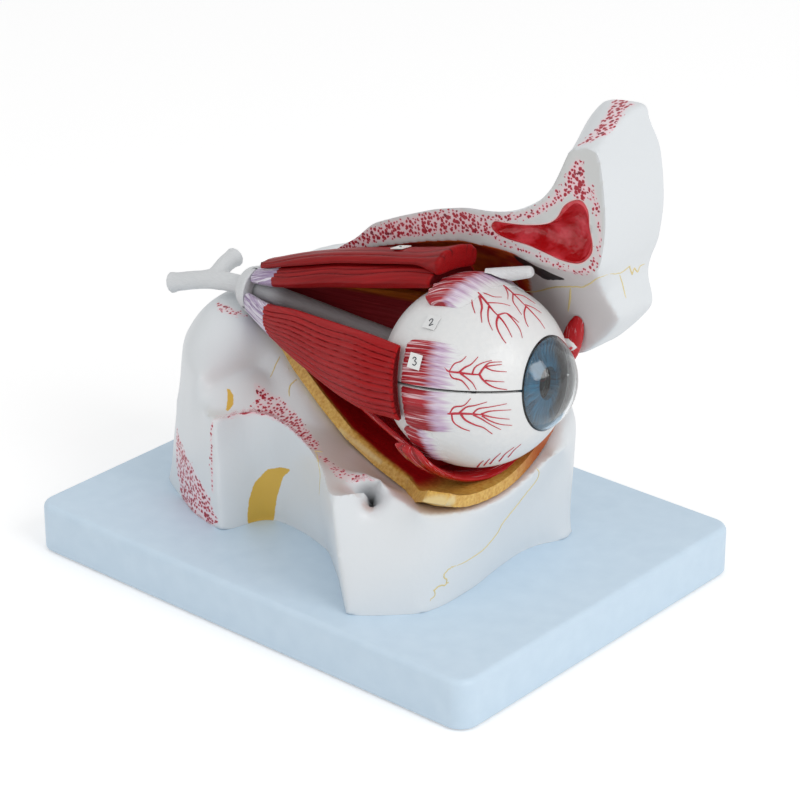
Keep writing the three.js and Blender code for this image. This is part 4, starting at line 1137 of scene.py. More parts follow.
def search_tree(piece: Piece) -> BVHTree:
    """Search tree of a piece's own mesh, in metres."""
    mesh = piece.data
    return BVHTree.FromPolygons([v.co for v in mesh.vertices], [tuple(p.vertices) for p in mesh.polygons])


def surface(shape: Shape) -> BVHTree:
    """Search tree of a shape that isn't a piece yet.

    Args:
        shape: The shape.

    Returns:
        The tree of its surface, in metres.
    """
    piece = to_object("probe", shape)
    tree = search_tree(piece)
    bpy.data.objects.remove(piece)
    return tree


def ease(points: Array, steps: int) -> Array:
    """Draws a smooth curve through points.

    Args:
        points: The points, of any number of columns.
        steps: Points on each stretch.

    Returns:
        The finer points.
    """
    p = np.asarray(points, float)
    if len(p) == 2:
        return p[0] + np.linspace(0, 1, steps + 1)[:, None] * (p[1] - p[0])
    ends = np.vstack([2 * p[0] - p[1], p, 2 * p[-1] - p[-2]])
    t = np.linspace(0, 1, steps, endpoint=False)[:, None]
    rows = []
    for a, b, c, d in zip(ends[:-3], ends[1:-2], ends[2:-1], ends[3:]):
        rows.append(0.5 * (2 * b + (c - a) * t + (2 * a - 5 * b + 4 * c - d) * t ** 2
                           + (3 * b - a - 3 * c + d) * t ** 3))
    return np.vstack([*rows, p[-1:]])


VIEW = Viewpoint()


# ---------------------------------------------------------------- stand

@dataclass
class Stand:
    """The plate with its feet and the screws that hold the casting from below."""

    length: float = 240.0
    width: float = 180.0
    corner: float = 8.5
    top_edge: float = 2.8
    sole_edge: float = 0.8
    foot_radius: float = 8.0
    foot_height: float = 3.0
    foot_proud: float = 0.8
    foot_inset: float = 20.0
    head_radius: float = 4.5
    head_height: float = 3.0
    shank: float = 2.0
    screw_length: float = 34.0
    recess: float = 2.0
    gap: float = 0.3

    def foot_spots(self) -> list[tuple[float, float, float]]:
        """Centres of the feet."""
        x, y = self.length / 2 - self.foot_inset, self.width / 2 - self.foot_inset
        return [(-x, -y, 0.0), (x, -y, 0.0), (x, y, 0.0), (-x, y, 0.0)]

    def screw_spots(self) -> list[tuple[float, float, float]]:
        """Undersides of the screw heads."""
        z = self.foot_proud + self.recess
        return [(-72.0, -22.0, z), (-66.0, 26.0, z), (52.0, -42.0, z), (52.0, 20.0, z)]

    def outline(self, inset: float, z: float, steps: int = 14) -> Array:
        """Rounded rectangle at one height.

        Args:
            inset: How far it is drawn in.
            z: Its height.
            steps: Points on each corner.

        Returns:
            The ring of points.
        """
        ring = []
        for sx, sy, start in ((1, -1, -90), (1, 1, 0), (-1, 1, 90), (-1, -1, 180)):
            for a in np.radians(np.linspace(start, start + 90, steps)):
                ring.append((sx * (self.length / 2 - self.corner) + (self.corner - inset) * math.cos(a),
                             sy * (self.width / 2 - self.corner) + (self.corner - inset) * math.sin(a), z))
        return np.array(ring)

    def build_plate(self) -> None:
        """Makes the plate and cuts the sinkings for feet and screws."""
        low, high = self.foot_proud, PLATE_TOP
        rings = [self.outline(self.corner - 0.5, low)]
        rings += [self.outline(self.sole_edge * (1 - math.sin(a)), low + self.sole_edge * (1 - math.cos(a)))
                  for a in np.linspace(0, math.pi / 2, 5)]
        rings += [self.outline(self.top_edge * (1 - math.cos(a)), high - self.top_edge * (1 - math.sin(a)))
                  for a in np.linspace(0, math.pi / 2, 9)]
        rings.append(self.outline(self.corner - 0.5, high))
        down = np.array([0.0, 0.0, -1.0])
        cuts = [rod(np.array(spot) + down, (spot[0], spot[1], self.foot_height + self.gap),
                    self.foot_radius + self.gap, SHARP) for spot in self.foot_spots()]
        for x, y, _ in self.screw_spots():
            top = self.foot_proud + self.recess + self.head_height + self.gap
            cuts.append(rod(np.array([x, y, -1.0]), (x, y, top), self.head_radius + 0.5, SHARP))
            cuts.append(rod(np.array([x, y, top - 0.5]), (x, y, high + 2), self.shank + self.gap, SHARP))
        plate = skin(np.array(rings)).carve(*cuts)
        finish_piece("stand_plate", plate, BOARD, Body.STAND, ("base_plate",), 32)

    def build(self) -> None:
        """Makes the whole stand."""
        self.build_plate()
        r, h = self.foot_radius, self.foot_height
        foot = turned(np.array([[0, 1.5], [0, r - 1.6], [0.25, r - 0.9], [0.9, r - 0.25], [1.4, r], [h, r],
                                [h, 1.5]]), (0, 0, 0), (0, 0, 1), 36)
        repeat("bumper_feet", foot, self.foot_spots(), 0.0, RUBBER, Body.STAND, Slot.RUBBER,
               tuple(f"rubber_foot_{i}" for i in range(1, 5)))
        head, tall, tip = self.head_radius, self.head_height, self.head_height + self.screw_length
        profile = [[0, 0.4], [0, head - 0.4], [0.35, head], [tall / 2, head], [tall, self.shank]]
        pitch = 1.6
        for z in np.arange(tall + 3, tip - 3.5, pitch / 4):
            ridge = 0.5 + 0.5 * math.cos(2 * math.pi * z / pitch)
            profile.append([z, self.shank - 0.45 + 0.4 * ridge])
        profile += [[tip - 3, self.shank - 0.5], [tip, 0.15]]
        slot = Shape(*cross_recess(head * 0.52, 0.7, 1.4))
        screw = turned(np.array(profile), (0, 0, 0), (0, 0, 1), 24).carve(slot)
        repeat("fixing_screws", screw, self.screw_spots(), 1.5, STEEL, Body.STAND, Slot.STEEL,
               tuple(f"base_screw_{i}" for i in range(1, 5)))


def cross_recess(reach: float, half: float, deep: float) -> tuple[Array, list]:
    """A cross-shaped cutter about the origin.

    Args:
        reach: Half length of an arm.
        half: Half width of an arm.
        deep: Depth above and below the origin.

    Returns:
        Points and faces.
    """
    r, h = reach, half
    plan = [(h, h), (h, r), (-h, r), (-h, h), (-r, h), (-r, -h),
            (-h, -h), (-h, -r), (h, -r), (h, -h), (r, -h), (r, h)]
    points = np.array([(x, y, z) for z in (-deep, deep) for x, y in plan])
    n = len(plan)
    faces = [[i, (i + 1) % n, n + (i + 1) % n, n + i] for i in range(n)]
    return points, [*faces, list(range(n))[::-1], list(range(n, 2 * n))]


# ---------------------------------------------------------------- casting, softened from the solids

@dataclass
class Casting:
    """A copy of a node, remeshed evenly and softened everywhere but along its crisp edges."""

    node: str
    depth: int = 7
    rounds: int = 60
    crisp: float = 75.0
    cuts: tuple[tuple[int, float], ...] = ()
    cut_crisp: float = 24.0
    firm_below: float = 0.0
    firm: float = 0.1
    near: float = 0.5
    far: float = 7.0
    edge_rounds: int = 0
    fill: float = 0.96
    spacing: float = 0.5
    off_cut: float = 0.3

    def edge_spots(self, mesh: bpy.types.Mesh) -> tuple[list[Vector], list[Vector]]:
        """Collects points along the crisp edges and along the firm ones, which give way a little.

        Args:
            mesh: The copied mesh, in metres.

        Returns:
            Crisp and firm points.
        """
        work = bmesh.new()
        work.from_mesh(mesh)
        crisp, firm = [], []
        for e in work.edges:
            if len(e.link_faces) != 2:
                continue
            angle = math.degrees(e.calc_face_angle(0.0))
            a, b = e.verts[0].co, e.verts[1].co
            on_cut = any(max(abs(a[axis] / MM - at), abs(b[axis] / MM - at)) < self.off_cut
                         for axis, at in self.cuts)
            steps = max(1, int((b - a).length / (self.spacing * MM)))
            line = [a.lerp(b, i / steps) for i in range(steps + 1)]
            if self.cuts and on_cut and angle > self.cut_crisp and e.is_convex:
                crisp += line
            elif self.cuts and angle > self.crisp and e.is_convex and max(a.z, b.z) / MM < self.firm_below:
                firm += line
            elif not self.cuts and angle > self.crisp:
                crisp += line
        work.free()
        return crisp, firm

    @staticmethod
    def distances(points: Array, spots: list[Vector]) -> Array:
        """Distance from points to the nearest of some spots, in millimetres.

        Args:
            points: Points in millimetres.
            spots: The spots, in metres.

        Returns:
            A distance for each point, and a large one where there are no spots.
        """
        if not spots:
            return np.full(len(points), -OUTSIDE)
        tree = KDTree(len(spots))
        for i, spot in enumerate(spots):
            tree.insert(spot, i)
        tree.balance()
        return np.array([tree.find(Vector(p) * MM)[2] for p in points]) / MM

    def shape(self) -> Shape:
        """Remeshes and softens the copy.

        Returns:
            The softened shape.
        """
        source = linked(f"{self.node}_copy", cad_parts[self.node].data.copy())
        work = bmesh.new()
        work.from_mesh(source.data)
        bmesh.ops.remove_doubles(work, verts=work.verts, dist=MERGE)
        work.to_mesh(source.data)
        work.free()
        crisp, firm = self.edge_spots(source.data)
        remesh = source.modifiers.new("even", "REMESH")
        remesh.mode, remesh.octree_depth, remesh.scale, remesh.sharpness = "SHARP", self.depth, self.fill, 1.0
        remesh.use_remove_disconnected = False
        mesh = bpy.data.meshes.new_from_object(source.evaluated_get(bpy.context.evaluated_depsgraph_get()))
        bpy.data.objects.remove(source)
        made = from_mesh(mesh)
        from_crisp = self.distances(made.points, crisp)
        made.points = self.mould(made.points, from_crisp)
        weight = smooth_step(from_crisp, self.near, self.far)
        give = self.firm + (1 - self.firm) * smooth_step(self.distances(made.points, firm), self.near, self.far)
        pairs = np.array([e.vertices[:] for e in mesh.edges])
        edge = from_crisp < self.near
        chain = pairs[edge[pairs[:, 0]] & edge[pairs[:, 1]]]
        if len(chain):
            made.points = relax(made.points, chain, edge * 1.0, self.edge_rounds)
        made.points = relax(made.points, pairs, np.minimum(weight, give), self.rounds)
        bpy.data.meshes.remove(mesh)
        return made

    def mould(self, points: Array, from_crisp: Array) -> Array:
        """Changes the raw form before it is softened.

        Args:
            points: The remeshed points.
            from_crisp: Their distances from crisp edges.

        Returns:
            The moulded points.
        """
        return points


@dataclass
class LowerCasting(Casting):
    """The lower block, whose narrow shelf beside the tower is filled up into a slope."""

    shelf: float = 72.5
    rise: float = 0.9
    soft_from: float = -52.0

    def edge_spots(self, mesh: bpy.types.Mesh) -> tuple[list[Vector], list[Vector]]:
        """Leaves the shelf's outer edges out of the crisp ones, so that they melt into the tower."""
        crisp, firm = super().edge_spots(mesh)
        return [c for c in crisp if abs(c.z / MM - self.shelf) > 0.5 or c.x / MM > self.soft_from], firm

    def mould(self, points: Array, from_crisp: Array) -> Array:
        """Raises the shelf with the distance from its edge.

        Args:
            points: The remeshed points.
            from_crisp: Their distances from crisp edges.

        Returns:
            The moulded points.
        """
        on_shelf = np.abs(points[:, 2] - self.shelf) < 0.8
        lift = np.clip(self.rise * from_crisp, 0, 14) * smooth_step(points[:, 0], -36, -46) * on_shelf
        return points + np.column_stack([0 * lift, 0 * lift, lift])


@dataclass
class RoofCasting(Casting):
    """The frontal bone, whose rear outline bulges below the slanting cut and is hollow further down."""

    levels: tuple[float, ...] = (172, 181, 189, 198, 205, 211, 217, 223, 229)
    shifts: tuple[float, ...] = (0.0, 1.8, 0.4, -0.9, -2.9, 0.0, 3.6, 0.5, -7.0)

    def mould(self, points: Array, from_crisp: Array) -> Array:
        """Moves the rear of the bone to and fro by its height.

        Args:
            points: The remeshed points.
            from_crisp: Their distances from crisp edges.

        Returns:
            The moulded points.
        """
        middle = np.interp(points[:, 2], (195, 210, 230), (98, 102, 108))
        shift = np.interp(points[:, 2], self.levels, self.shifts) * smooth_step(middle - points[:, 0], 0, 9)
        return points + np.column_stack([shift, 0 * shift, 0 * shift])


def relax(points: Array, pairs: Array, weight: Array, rounds: int) -> Array:
    """Moves points towards the middle of their neighbours.

    Args:
        points: The points.
        pairs: The edges as pairs of point numbers.
        weight: How far each point may follow, from 0 to 1.
        rounds: How often.

    Returns:
        The softened points.
    """
    a, b = pairs.T
    count = np.maximum(np.bincount(a, minlength=len(points)) + np.bincount(b, minlength=len(points)), 1)
    points = points.copy()
    for _ in range(rounds):
        for k in range(3):
            total = (np.bincount(a, points[b, k], len(points)) + np.bincount(b, points[a, k], len(points)))
            points[:, k] += 0.5 * weight * (total / count - points[:, k])
    return points


def point_normals(shape: Shape) -> Array:
    """Outward normals at a shape's points.

    Args:
        shape: The shape.

    Returns:
        A unit normal for each point.
    """
    tri = np.array([f[:3] for f in shape.faces])
    p = shape.points
    n = np.cross(p[tri[:, 1]] - p[tri[:, 0]], p[tri[:, 2]] - p[tri[:, 0]])
    total = np.zeros_like(p)
    flat = np.array([(i, v) for i, f in enumerate(shape.faces) for v in f])
    for k in range(3):
        total[:, k] = np.bincount(flat[:, 1], n[flat[:, 0], k], len(p))
    return total / np.maximum(np.linalg.norm(total, axis=1, keepdims=True), 1e-12)


def reach_inside(points: Array, course: Array, halves: Array) -> Array:
    """Distance inside a brush stroke of changing half width, negative outside.

    Args:
        points: Points to measure.
        course: The stroke's points.
        halves: Its half widths.

    Returns:
        Millimetres inside for each point.
    """
    best = np.full(len(points), OUTSIDE)
    for a, b, ha, hb in zip(course[:-1], course[1:], halves[:-1], halves[1:]):
        span = b - a
        t = np.clip((points - a) @ span / max(span @ span, 1e-9), 0, 1)
        far = np.linalg.norm(points - a - t[:, None] * span, axis=1)
        best = np.maximum(best, ha + (hb - ha) * t - far)
    return best


@dataclass
class Stroke:
    """A broad painted stroke by points of the picture: from the left, from the top, half width in mm."""

    dots: list[tuple[float, float, float]]
    strength: float = 1.0
    facing: float = 0.55

    def course(self, tree: BVHTree) -> tuple[Array, Array, Array]:
        """Finds the stroke on a surface.

        Args:
            tree: The surface's search tree.

        Returns:
            Its points, half widths and mean normal.
        """
        found = [(VIEW.hit(tree, px, py), half) for px, py, half in self.dots]
        found = [(hit, half) for hit, half in found if hit]
        normal = np.mean([hit[1] for hit, _ in found], axis=0)
        return (np.array([hit[0] for hit, _ in found]), np.array([half for _, half in found]),
                unit(normal))

    def lay(self, tree: BVHTree, points: Array, normals: Array) -> Array:
        """Distance inside the stroke for points that face its way.

        Args:
            tree: The surface's search tree.
            points: The points.
            normals: Their normals.

        Returns:
            Millimetres inside, far outside where the surface turns away.
        """
        course, halves, normal = self.course(tree)
        inside = reach_inside(points, course, halves)
        return np.where(normals @ normal > self.facing, inside, OUTSIDE)


# ---------------------------------------------------------------- bones

SutureRow = tuple[list[tuple[float, float]], float, float]


@dataclass
class Bones:
    """The two bone castings with their painted cut faces, patches and sutures."""

    section_y: float = 8.0
    cut_height: float = 50.0
    axis_height: float = 87.0
    off_plate: float = 0.05
    cuts: tuple[tuple[int, float], ...] = ((1, 8.0), (1, 46.0), (2, 22.5), (2, 72.5), (2, 110.5))
    sponge_roof: tuple[Stroke, ...] = (
        Stroke([(318, 262, 1.5), (345, 247, 3), (372, 235, 3.6), (400, 229, 4.4), (430, 223, 5), (462, 222, 5.2),
                (484, 226, 4), (500, 236, 2.2)], 1.5),
        Stroke([(474, 219, 2.5), (500, 219, 2.0), (533, 214, 2.2), (551, 203, 2.4), (566, 190, 3)], 1.15),
        Stroke([(578, 163, 2.4), (577, 172, 4.0), (576, 182, 5.6), (580, 190, 5.2)], 1.6),
        Stroke([(590, 190, 3), (595, 205, 2.4), (599, 224, 1.8), (600, 240, 1.6), (597, 258, 1.8), (590, 270, 2),
                (577, 273, 2.6), (562, 268, 2.2), (546, 260, 1.8), (526, 251, 1.7), (504, 243, 1.6),
                (492, 236, 2)], 0.95),
        Stroke([(621, 100, 4), (616, 112, 4.5), (609, 122, 4.6), (600, 132, 4.6), (590, 139, 3.6),
                (581, 144, 2)], 1.25),
        Stroke([(622, 101, 3), (630, 105, 3)], 0.8),
    )
    sponge_lower: tuple[Stroke, ...] = (
        Stroke([(257, 386, 2), (263, 395, 4), (270, 406, 7), (284, 416, 5), (300, 432, 4), (316, 448, 2.6)], 1.1),
        Stroke([(262, 408, 3.5), (250, 412, 2.2), (236, 415, 1.5), (222, 417, 1.2), (214, 421, 1.0)], 1.0, 0.0),
        Stroke([(320, 456, 1.6), (332, 466, 2.6), (344, 476, 3.4), (364, 479, 2.6), (376, 480, 1)], 0.85),
        Stroke([(177, 430, 1.5), (178.5, 445, 5), (182, 465, 9.5), (188, 485, 13), (200, 505, 10.5),
                (212, 518, 4)], 1.1, -0.3),
        Stroke([(212, 424, 0.9), (211, 445, 0.9), (211.5, 470, 0.9), (213, 492, 0.9)], 0.9, 0.0),
        Stroke([(217, 303, 1.2), (223, 308, 3.0), (232, 312, 3.2), (243, 315, 1.6)], 1.0, -0.2),
    )
    ochre_lower: tuple[Stroke, ...] = (
        Stroke([(289, 470, 0.6), (281, 472, 2.2), (273, 478, 4.4), (266, 489, 5.6), (262, 502, 6.0),
                (260, 517, 6.0)], 1.0, -0.2),
        Stroke([(228, 389, 0.5), (230.5, 396, 1.3), (230.5, 403, 1.3), (227, 411, 0.6)], 1.0, 0.0),
    )
    # A near-black stroke under the roof's front edge: painted shadow.
    shadow_under_roof: tuple[Stroke, ...] = (
        Stroke([(523, 260.5, 4.4), (529, 265, 6.6), (537, 270, 6.4), (546, 273.5, 4.4), (556, 277, 2.0),
                (564, 279, 0.6)], 1.0, -1.0),
    )

    # Sutures by points of the picture, half width in mm and waviness in picture points.
    cheek_lines: tuple[SutureRow, ...] = (
        ([(535, 467), (539, 473), (534, 484), (521, 500), (505, 520), (497, 533), (484, 549), (468, 560),
          (456, 566)], 0.42, 0.35),
        ([(456, 566), (450, 568), (444, 576), (447, 583), (436, 588), (434, 595), (430, 602)], 0.4, 0.9),
        ([(315, 451), (318, 460), (320, 475), (319, 496)], 0.36, 0.3),
        ([(314, 451), (323, 452)], 0.45, 0.2),
        ([(280, 356), (276, 364), (270, 378)], 0.42, 0.3),
        ([(297, 379), (290, 386), (289, 397)], 0.5, 0.2),
    )
    frontal_lines: tuple[SutureRow, ...] = (
        ([(523.5, 290.8), (533, 291.8), (546, 289.3), (558.5, 287), (570, 286.5), (581, 287), (589.4, 284),
          (598, 277.8), (609, 274.2)], 0.5, 0.4),
        ([(609, 274.2), (620.3, 272.8), (626, 269.3), (629.4, 266.5), (632.2, 274.2), (634.3, 268), (637.8, 272),
          (640, 265.8), (645.5, 263.7)], 0.42, 0.3),
        ([(570.5, 287.6), (569.8, 300), (568, 312)], 0.62, 0.2),
        ([(619.6, 274.2), (623, 286.2), (626, 298.8)], 0.38, 0.2),
    )
    jump: float = 9.0

    def values(self, shape: Shape, tree: BVHTree, roof: bool) -> None:
        """Gives the points their painted areas.

        Args:
            shape: The casting.
            tree: Its search tree.
            roof: Whether it is the upper casting.
        """
        points, normals = shape.points, point_normals(shape)
        dense = np.zeros(len(points))
        for stroke in self.sponge_roof if roof else self.sponge_lower:
            inside = stroke.lay(tree, points, normals)
            soft = min(1.8, 0.7 * max(half for _, _, half in stroke.dots))
            dense = np.maximum(dense, stroke.strength * smooth_step(inside, -0.2, soft))
        height = points[:, 2] - PLATE_TOP
        if roof:
            near_cut = smooth_step(points[:, 1], self.section_y + 2.5, self.section_y + 0.5)
            flat = smooth_step(-normals[:, 1], 0.75, 0.95) * near_cut
        else:
            flat = smooth_step(normals[:, 2], 0.8, 0.96) * smooth_step(np.abs(height - self.cut_height), 2.5, 1.0)
        level = np.abs(normals[:, 2]) > 0.75
        across = points[:, 0] if roof else 0.6 * points[:, 0] - 0.8 * points[:, 1]
        upright = np.stack([across, points[:, 2]], axis=1)
        slanting = np.stack([points[:, 0], 0.7 * (points[:, 1] + points[:, 2])], axis=1)
        other = (normals[:, 1] > -0.85) & (points[:, 2] > 180) if roof else level
        chart = np.where(other[:, None], slanting if roof else points[:, :2], upright)
        shape.values = {"chart": np.column_stack([chart, 0 * dense]), "sponge": dense, "section": flat}
        shape.values |= {key: np.full(len(points), OUTSIDE) for key in ("sinus", "ochre", "black", "amber")}
        # The roof gets its painted shadow by the value "black"; the lower casting gets its ochre patches.
        key, strokes = ("black", self.shadow_under_roof) if roof else ("ochre", self.ochre_lower)
        for stroke in strokes:
            shape.values[key] = np.maximum(shape.values[key], stroke.lay(tree, points, normals))
        axis_y = np.interp(points[:, 0], (-74, 60), (-2.5, -15))
        inward = np.stack([0 * axis_y, axis_y - points[:, 1], PLATE_TOP + self.axis_height - points[:, 2]], axis=1)
        inward /= np.linalg.norm(inward, axis=1, keepdims=True)
        cavity = smooth_step(np.sum(inward * normals, axis=1), 0.45, 0.8)
        if roof:
            behind = np.clip(70 - points[:, 0] - 0.5 * points[:, 1], -9, 4)
            shape.values["amber"] = np.where(cavity > 0.4, behind, -9.0)
            shape.values["sinus"] = self.sinus_inside(points)
            shape.values["wall"] = 0.4 * cavity * smooth_step(points[:, 0], 40, 56)
        else:
            below = smooth_step(height, 70, 30)
            shape.values["wall"] = cavity * below * smooth_step(points[:, 0], -22, 4)

    def sinus_inside(self, points: Array) -> Array:
        """Distance inside the frontal sinus's outline in the section plane, in millimetres.

        Args:
            points: The points.

        Returns:
            Positive inside, negative outside, far outside away from the plane.
        """
        outline = np.array([(51.2, 142.2), (53.5, 140), (60, 139), (70, 139), (79, 138), (88, 137), (96, 138.2),
                            (101, 143), (101.5, 148), (99.8, 154), (99, 160.5), (96, 163.8), (92, 163),
                            (87.5, 159.5), (84, 153.5), (78.5, 149.6), (68, 146.6), (58, 145), (53, 144.4)], float)
        outline = ease(np.vstack([outline, outline[:1]]), 4)[:-1]
        flat = np.stack([points[:, 0], points[:, 2] - PLATE_TOP], axis=1)
        far = np.full(len(flat), 1e9)
        inside = np.zeros(len(flat), bool)
        for a, b in zip(outline, np.roll(outline, -1, axis=0)):
            span = b - a
            t = np.clip((flat - a) @ span / (span @ span), 0, 1)
            far = np.minimum(far, np.linalg.norm(flat - a - t[:, None] * span, axis=1))
            crosses = (a[1] > flat[:, 1]) != (b[1] > flat[:, 1])
            at_x = a[0] + (flat[:, 1] - a[1]) / np.where(b[1] == a[1], 1e-9, b[1] - a[1]) * span[0]
            inside ^= crosses & (flat[:, 0] < at_x)
        signed = np.where(inside, far, -far)
        hollow = (points[:, 1] > self.section_y - 1) & (points[:, 1] < self.section_y + 14)
        return np.where(hollow, signed, OUTSIDE)

    def sutures(self, tree: BVHTree, name: str, rows: tuple[SutureRow, ...]) -> None:
        """Paints sutures through points of the picture.

        Args:
            tree: Search tree of the casting.
            name: The piece's name.
            rows: For each line its picture points, half width in mm and waviness in picture points.
        """
        chance = np.random.default_rng(11)
        strokes = []
        for dots, half, wave in rows:
            course = ease(np.array(dots, float), 10)
            drift = np.convolve(chance.normal(0, 1, len(course) + 4), [0.3, 0.4, 0.3], "same")[2:-2]
            course = course + wave * np.stack([drift, np.roll(drift, 3)], axis=1)
            hits = [VIEW.hit(tree, *dot) for dot in course]
            places = [hit[0] - 0.45 * half * hit[1] for hit in hits if hit]
            runs = [[]]
            for place in places:
                if runs[-1] and np.linalg.norm(place - runs[-1][-1]) > self.jump:
                    runs.append([])
                runs[-1].append(place)
            strokes += [(np.array(run), self.taper(len(run), half)) for run in runs if len(run) > 2]
        paint_lines(name, strokes, SUTURE, Body.STAND, Slot.BONE)

    @staticmethod
    def taper(count: int, half: float) -> Array:
        """Half widths of a line that thins at its ends."""
        t = np.linspace(0, 1, count)
        return half * (0.45 + 0.55 * np.sqrt(np.clip(4 * t * (1 - t), 0, 1)))

    def cast(self, name: str, casting: Casting, roof: bool) -> None:
        """Makes one casting with its painted areas and its sutures.

        Args:
            name: The piece's name.
            casting: The softened copy of its node.
            roof: Whether it is the upper casting.
        """
        shape = casting.shape()
        shape.points[:, 2] = np.maximum(shape.points[:, 2], PLATE_TOP + self.off_plate)
        tree = surface(shape)
        self.values(shape, tree, roof)
        finish_piece(name, shape, BONE, Body.STAND, (casting.node,), 70)
        lines, rows = ("frontal_sutures", self.frontal_lines) if roof else ("cheek_sutures", self.cheek_lines)
        self.sutures(tree, lines, rows)

    def build(self) -> None:
        """Makes both castings and their lines."""
        lower = LowerCasting("orbit_lower_bone", rounds=110, cuts=self.cuts, firm_below=73, edge_rounds=14)
        self.cast("cheek_and_skull_base_bone", lower, False)
        upper = RoofCasting("orbit_roof_bone", cuts=self.cuts, firm_below=250, firm=0.3, edge_rounds=14)
        self.cast("frontal_bone", upper, True)


# ---------------------------------------------------------------- muscles

# The cone that the straight muscles lie on: x, y, height above the plate and radius at both ends.
CONE_START = (-66.2, -3.0, 85.3, 7.2)
CONE_END = (50.0, -15.0, 89.1, 36.31)


def cone_at(x: Array) -> tuple[Array, Array, Array]:
    """Centre line and radius of the cone of muscles at an x: y, height above the plate, radius."""
    t = (x - CONE_START[0]) / (CONE_END[0] - CONE_START[0])
    return tuple(CONE_START[i] + (CONE_END[i] - CONE_START[i]) * t for i in (1, 2, 3))


@dataclass
class Strap:
    """A muscle on the cone by stations of x, first and last angle, thickness and lift."""

    name: str
    node: str
    stations: Array
    body: Body
    finish: Finish
    skew: float = 0.0
    ribs: float = 9.0
    rib_depth: float = 0.35
    rib_wander: float = 0.6
    rounding: float = 1.2
    rings: int = 130
    across: int = 88
    seed: int = 1
    dark_end: float = 1.0
    magnet: float | None = None

    def section(self, x: float, inset: float) -> tuple[Array, Array, Array]:
        """One section of the strap.

        Args:
            x: Its place along the model.
            inset: How far its outline is drawn in, at a rounded end.

        Returns:
            The ring's points, fibre values and ridge values.
        """
        first, last = self.stations[0, 0], self.stations[-1, 0]
        run = (x - first) / (last - first)
        near = np.clip(x + np.array([-8.0, -5.0, -2.5, 0.0, 2.5, 5.0, 8.0]), first, last)
        start, end, thick, lift = between(self.stations, near).mean(axis=0)
        y, height, radius = cone_at(x)
        s = np.linspace(-1, 1, self.across)
        u = np.sin(s * math.pi / 2)
        trim = math.degrees(inset / (radius + lift))
        angle = np.radians((start + trim) + (end - start - 2 * trim) * (u + 1) / 2)
        bulge = thick * (0.25 + 0.75 * np.sqrt(np.clip(1 - u ** 4, 0, 1)))
        low = radius + lift + (thick - bulge) * 0.25 + inset
        high = low + np.maximum(bulge - 2 * inset, 0.3)
        wide = (radius + thick) * math.radians(end - start)
        arc = u * wide / 2
        drift = self.rib_wander * math.sin(0.06 * x + self.seed) + 0.4 * math.sin(0.15 * x + 2.1 * self.seed)
        wave = self.ribs * math.pi * u / 2 + drift + 0.9 * np.sin(1.3 * u * math.pi + self.seed)
        rib = np.abs(np.cos(wave)) ** 0.6
        fade = smooth_step(1 - np.abs(u), 0.02, 0.2)
        high = high - np.minimum(self.rib_depth, 0.35 * (high - low)) * (1 - rib) * fade
        shift = self.skew * u * run ** 2
        ring, fibre, ridge = [], [], []
        for level, depth, step in ((low, 0.0, 1), (high, 1.0, -1)):
            turn, lean, reach, rise = angle[::step], shift[::step], arc[::step], level[::step]
            ring.append(np.stack([x + lean, y + rise * np.cos(turn),
                                  PLATE_TOP + height + rise * np.sin(turn)], axis=1))
            fibre.append(np.stack([reach, np.full(len(reach), x - first), 20 * depth + 0 * reach], axis=1))
            groove = (1 - rib[::step]) * fade * depth
            ridge.append((1 - groove) * (1 - self.dark_end * inset / self.rounding))
        return np.vstack(ring), np.vstack(fibre), np.concatenate(ridge)

    def shape(self) -> Shape:
        """The whole strap with its ends rounded over.

        Returns:
            The closed shape.
        """
        first, last = self.stations[0, 0], self.stations[-1, 0]
        r = self.rounding
        near = r * np.array([0, 0.08, 0.25, 0.5, 0.75])
        xs = np.concatenate([first + near, np.linspace(first + r, last - r, self.rings), last - near[::-1]])
        rows = []
        for x in xs:
            depth = min(x - first, last - x)
            inset = r * (1 - math.sqrt(max(0.0, 1 - (1 - min(depth / r, 1)) ** 2)))
            rows.append(self.section(x, inset))
        rings, fibre, ridge = (np.array([row[i] for row in rows]) for i in range(3))
        return skin(rings, {"fibre": fibre, "ridge": ridge}, Cap.PAIRS)

    def build(self) -> None:
        """Makes the muscle, with a pocket for its magnet where it has one."""
        made = self.shape()
        if self.magnet is not None:
            reach = [magnet_spot(self.magnet, CONE_START[0] + d) for d in (-1.0, 2.2)]
            made = made.carve(rod(reach[0], reach[1], 1.5, SHARP))
        finish_piece(self.name, made, self.finish, self.body, (self.node,), 50)


def magnet_spot(degrees: float, x: float) -> Array:
    """Point on the circle of magnets at an x."""
    angle, radius = math.radians(degrees), CONE_START[3] + 2.0 + 0.25
    return np.array([x, CONE_START[1] + radius * math.cos(angle),
                     PLATE_TOP + CONE_START[2] + radius * math.sin(angle)])


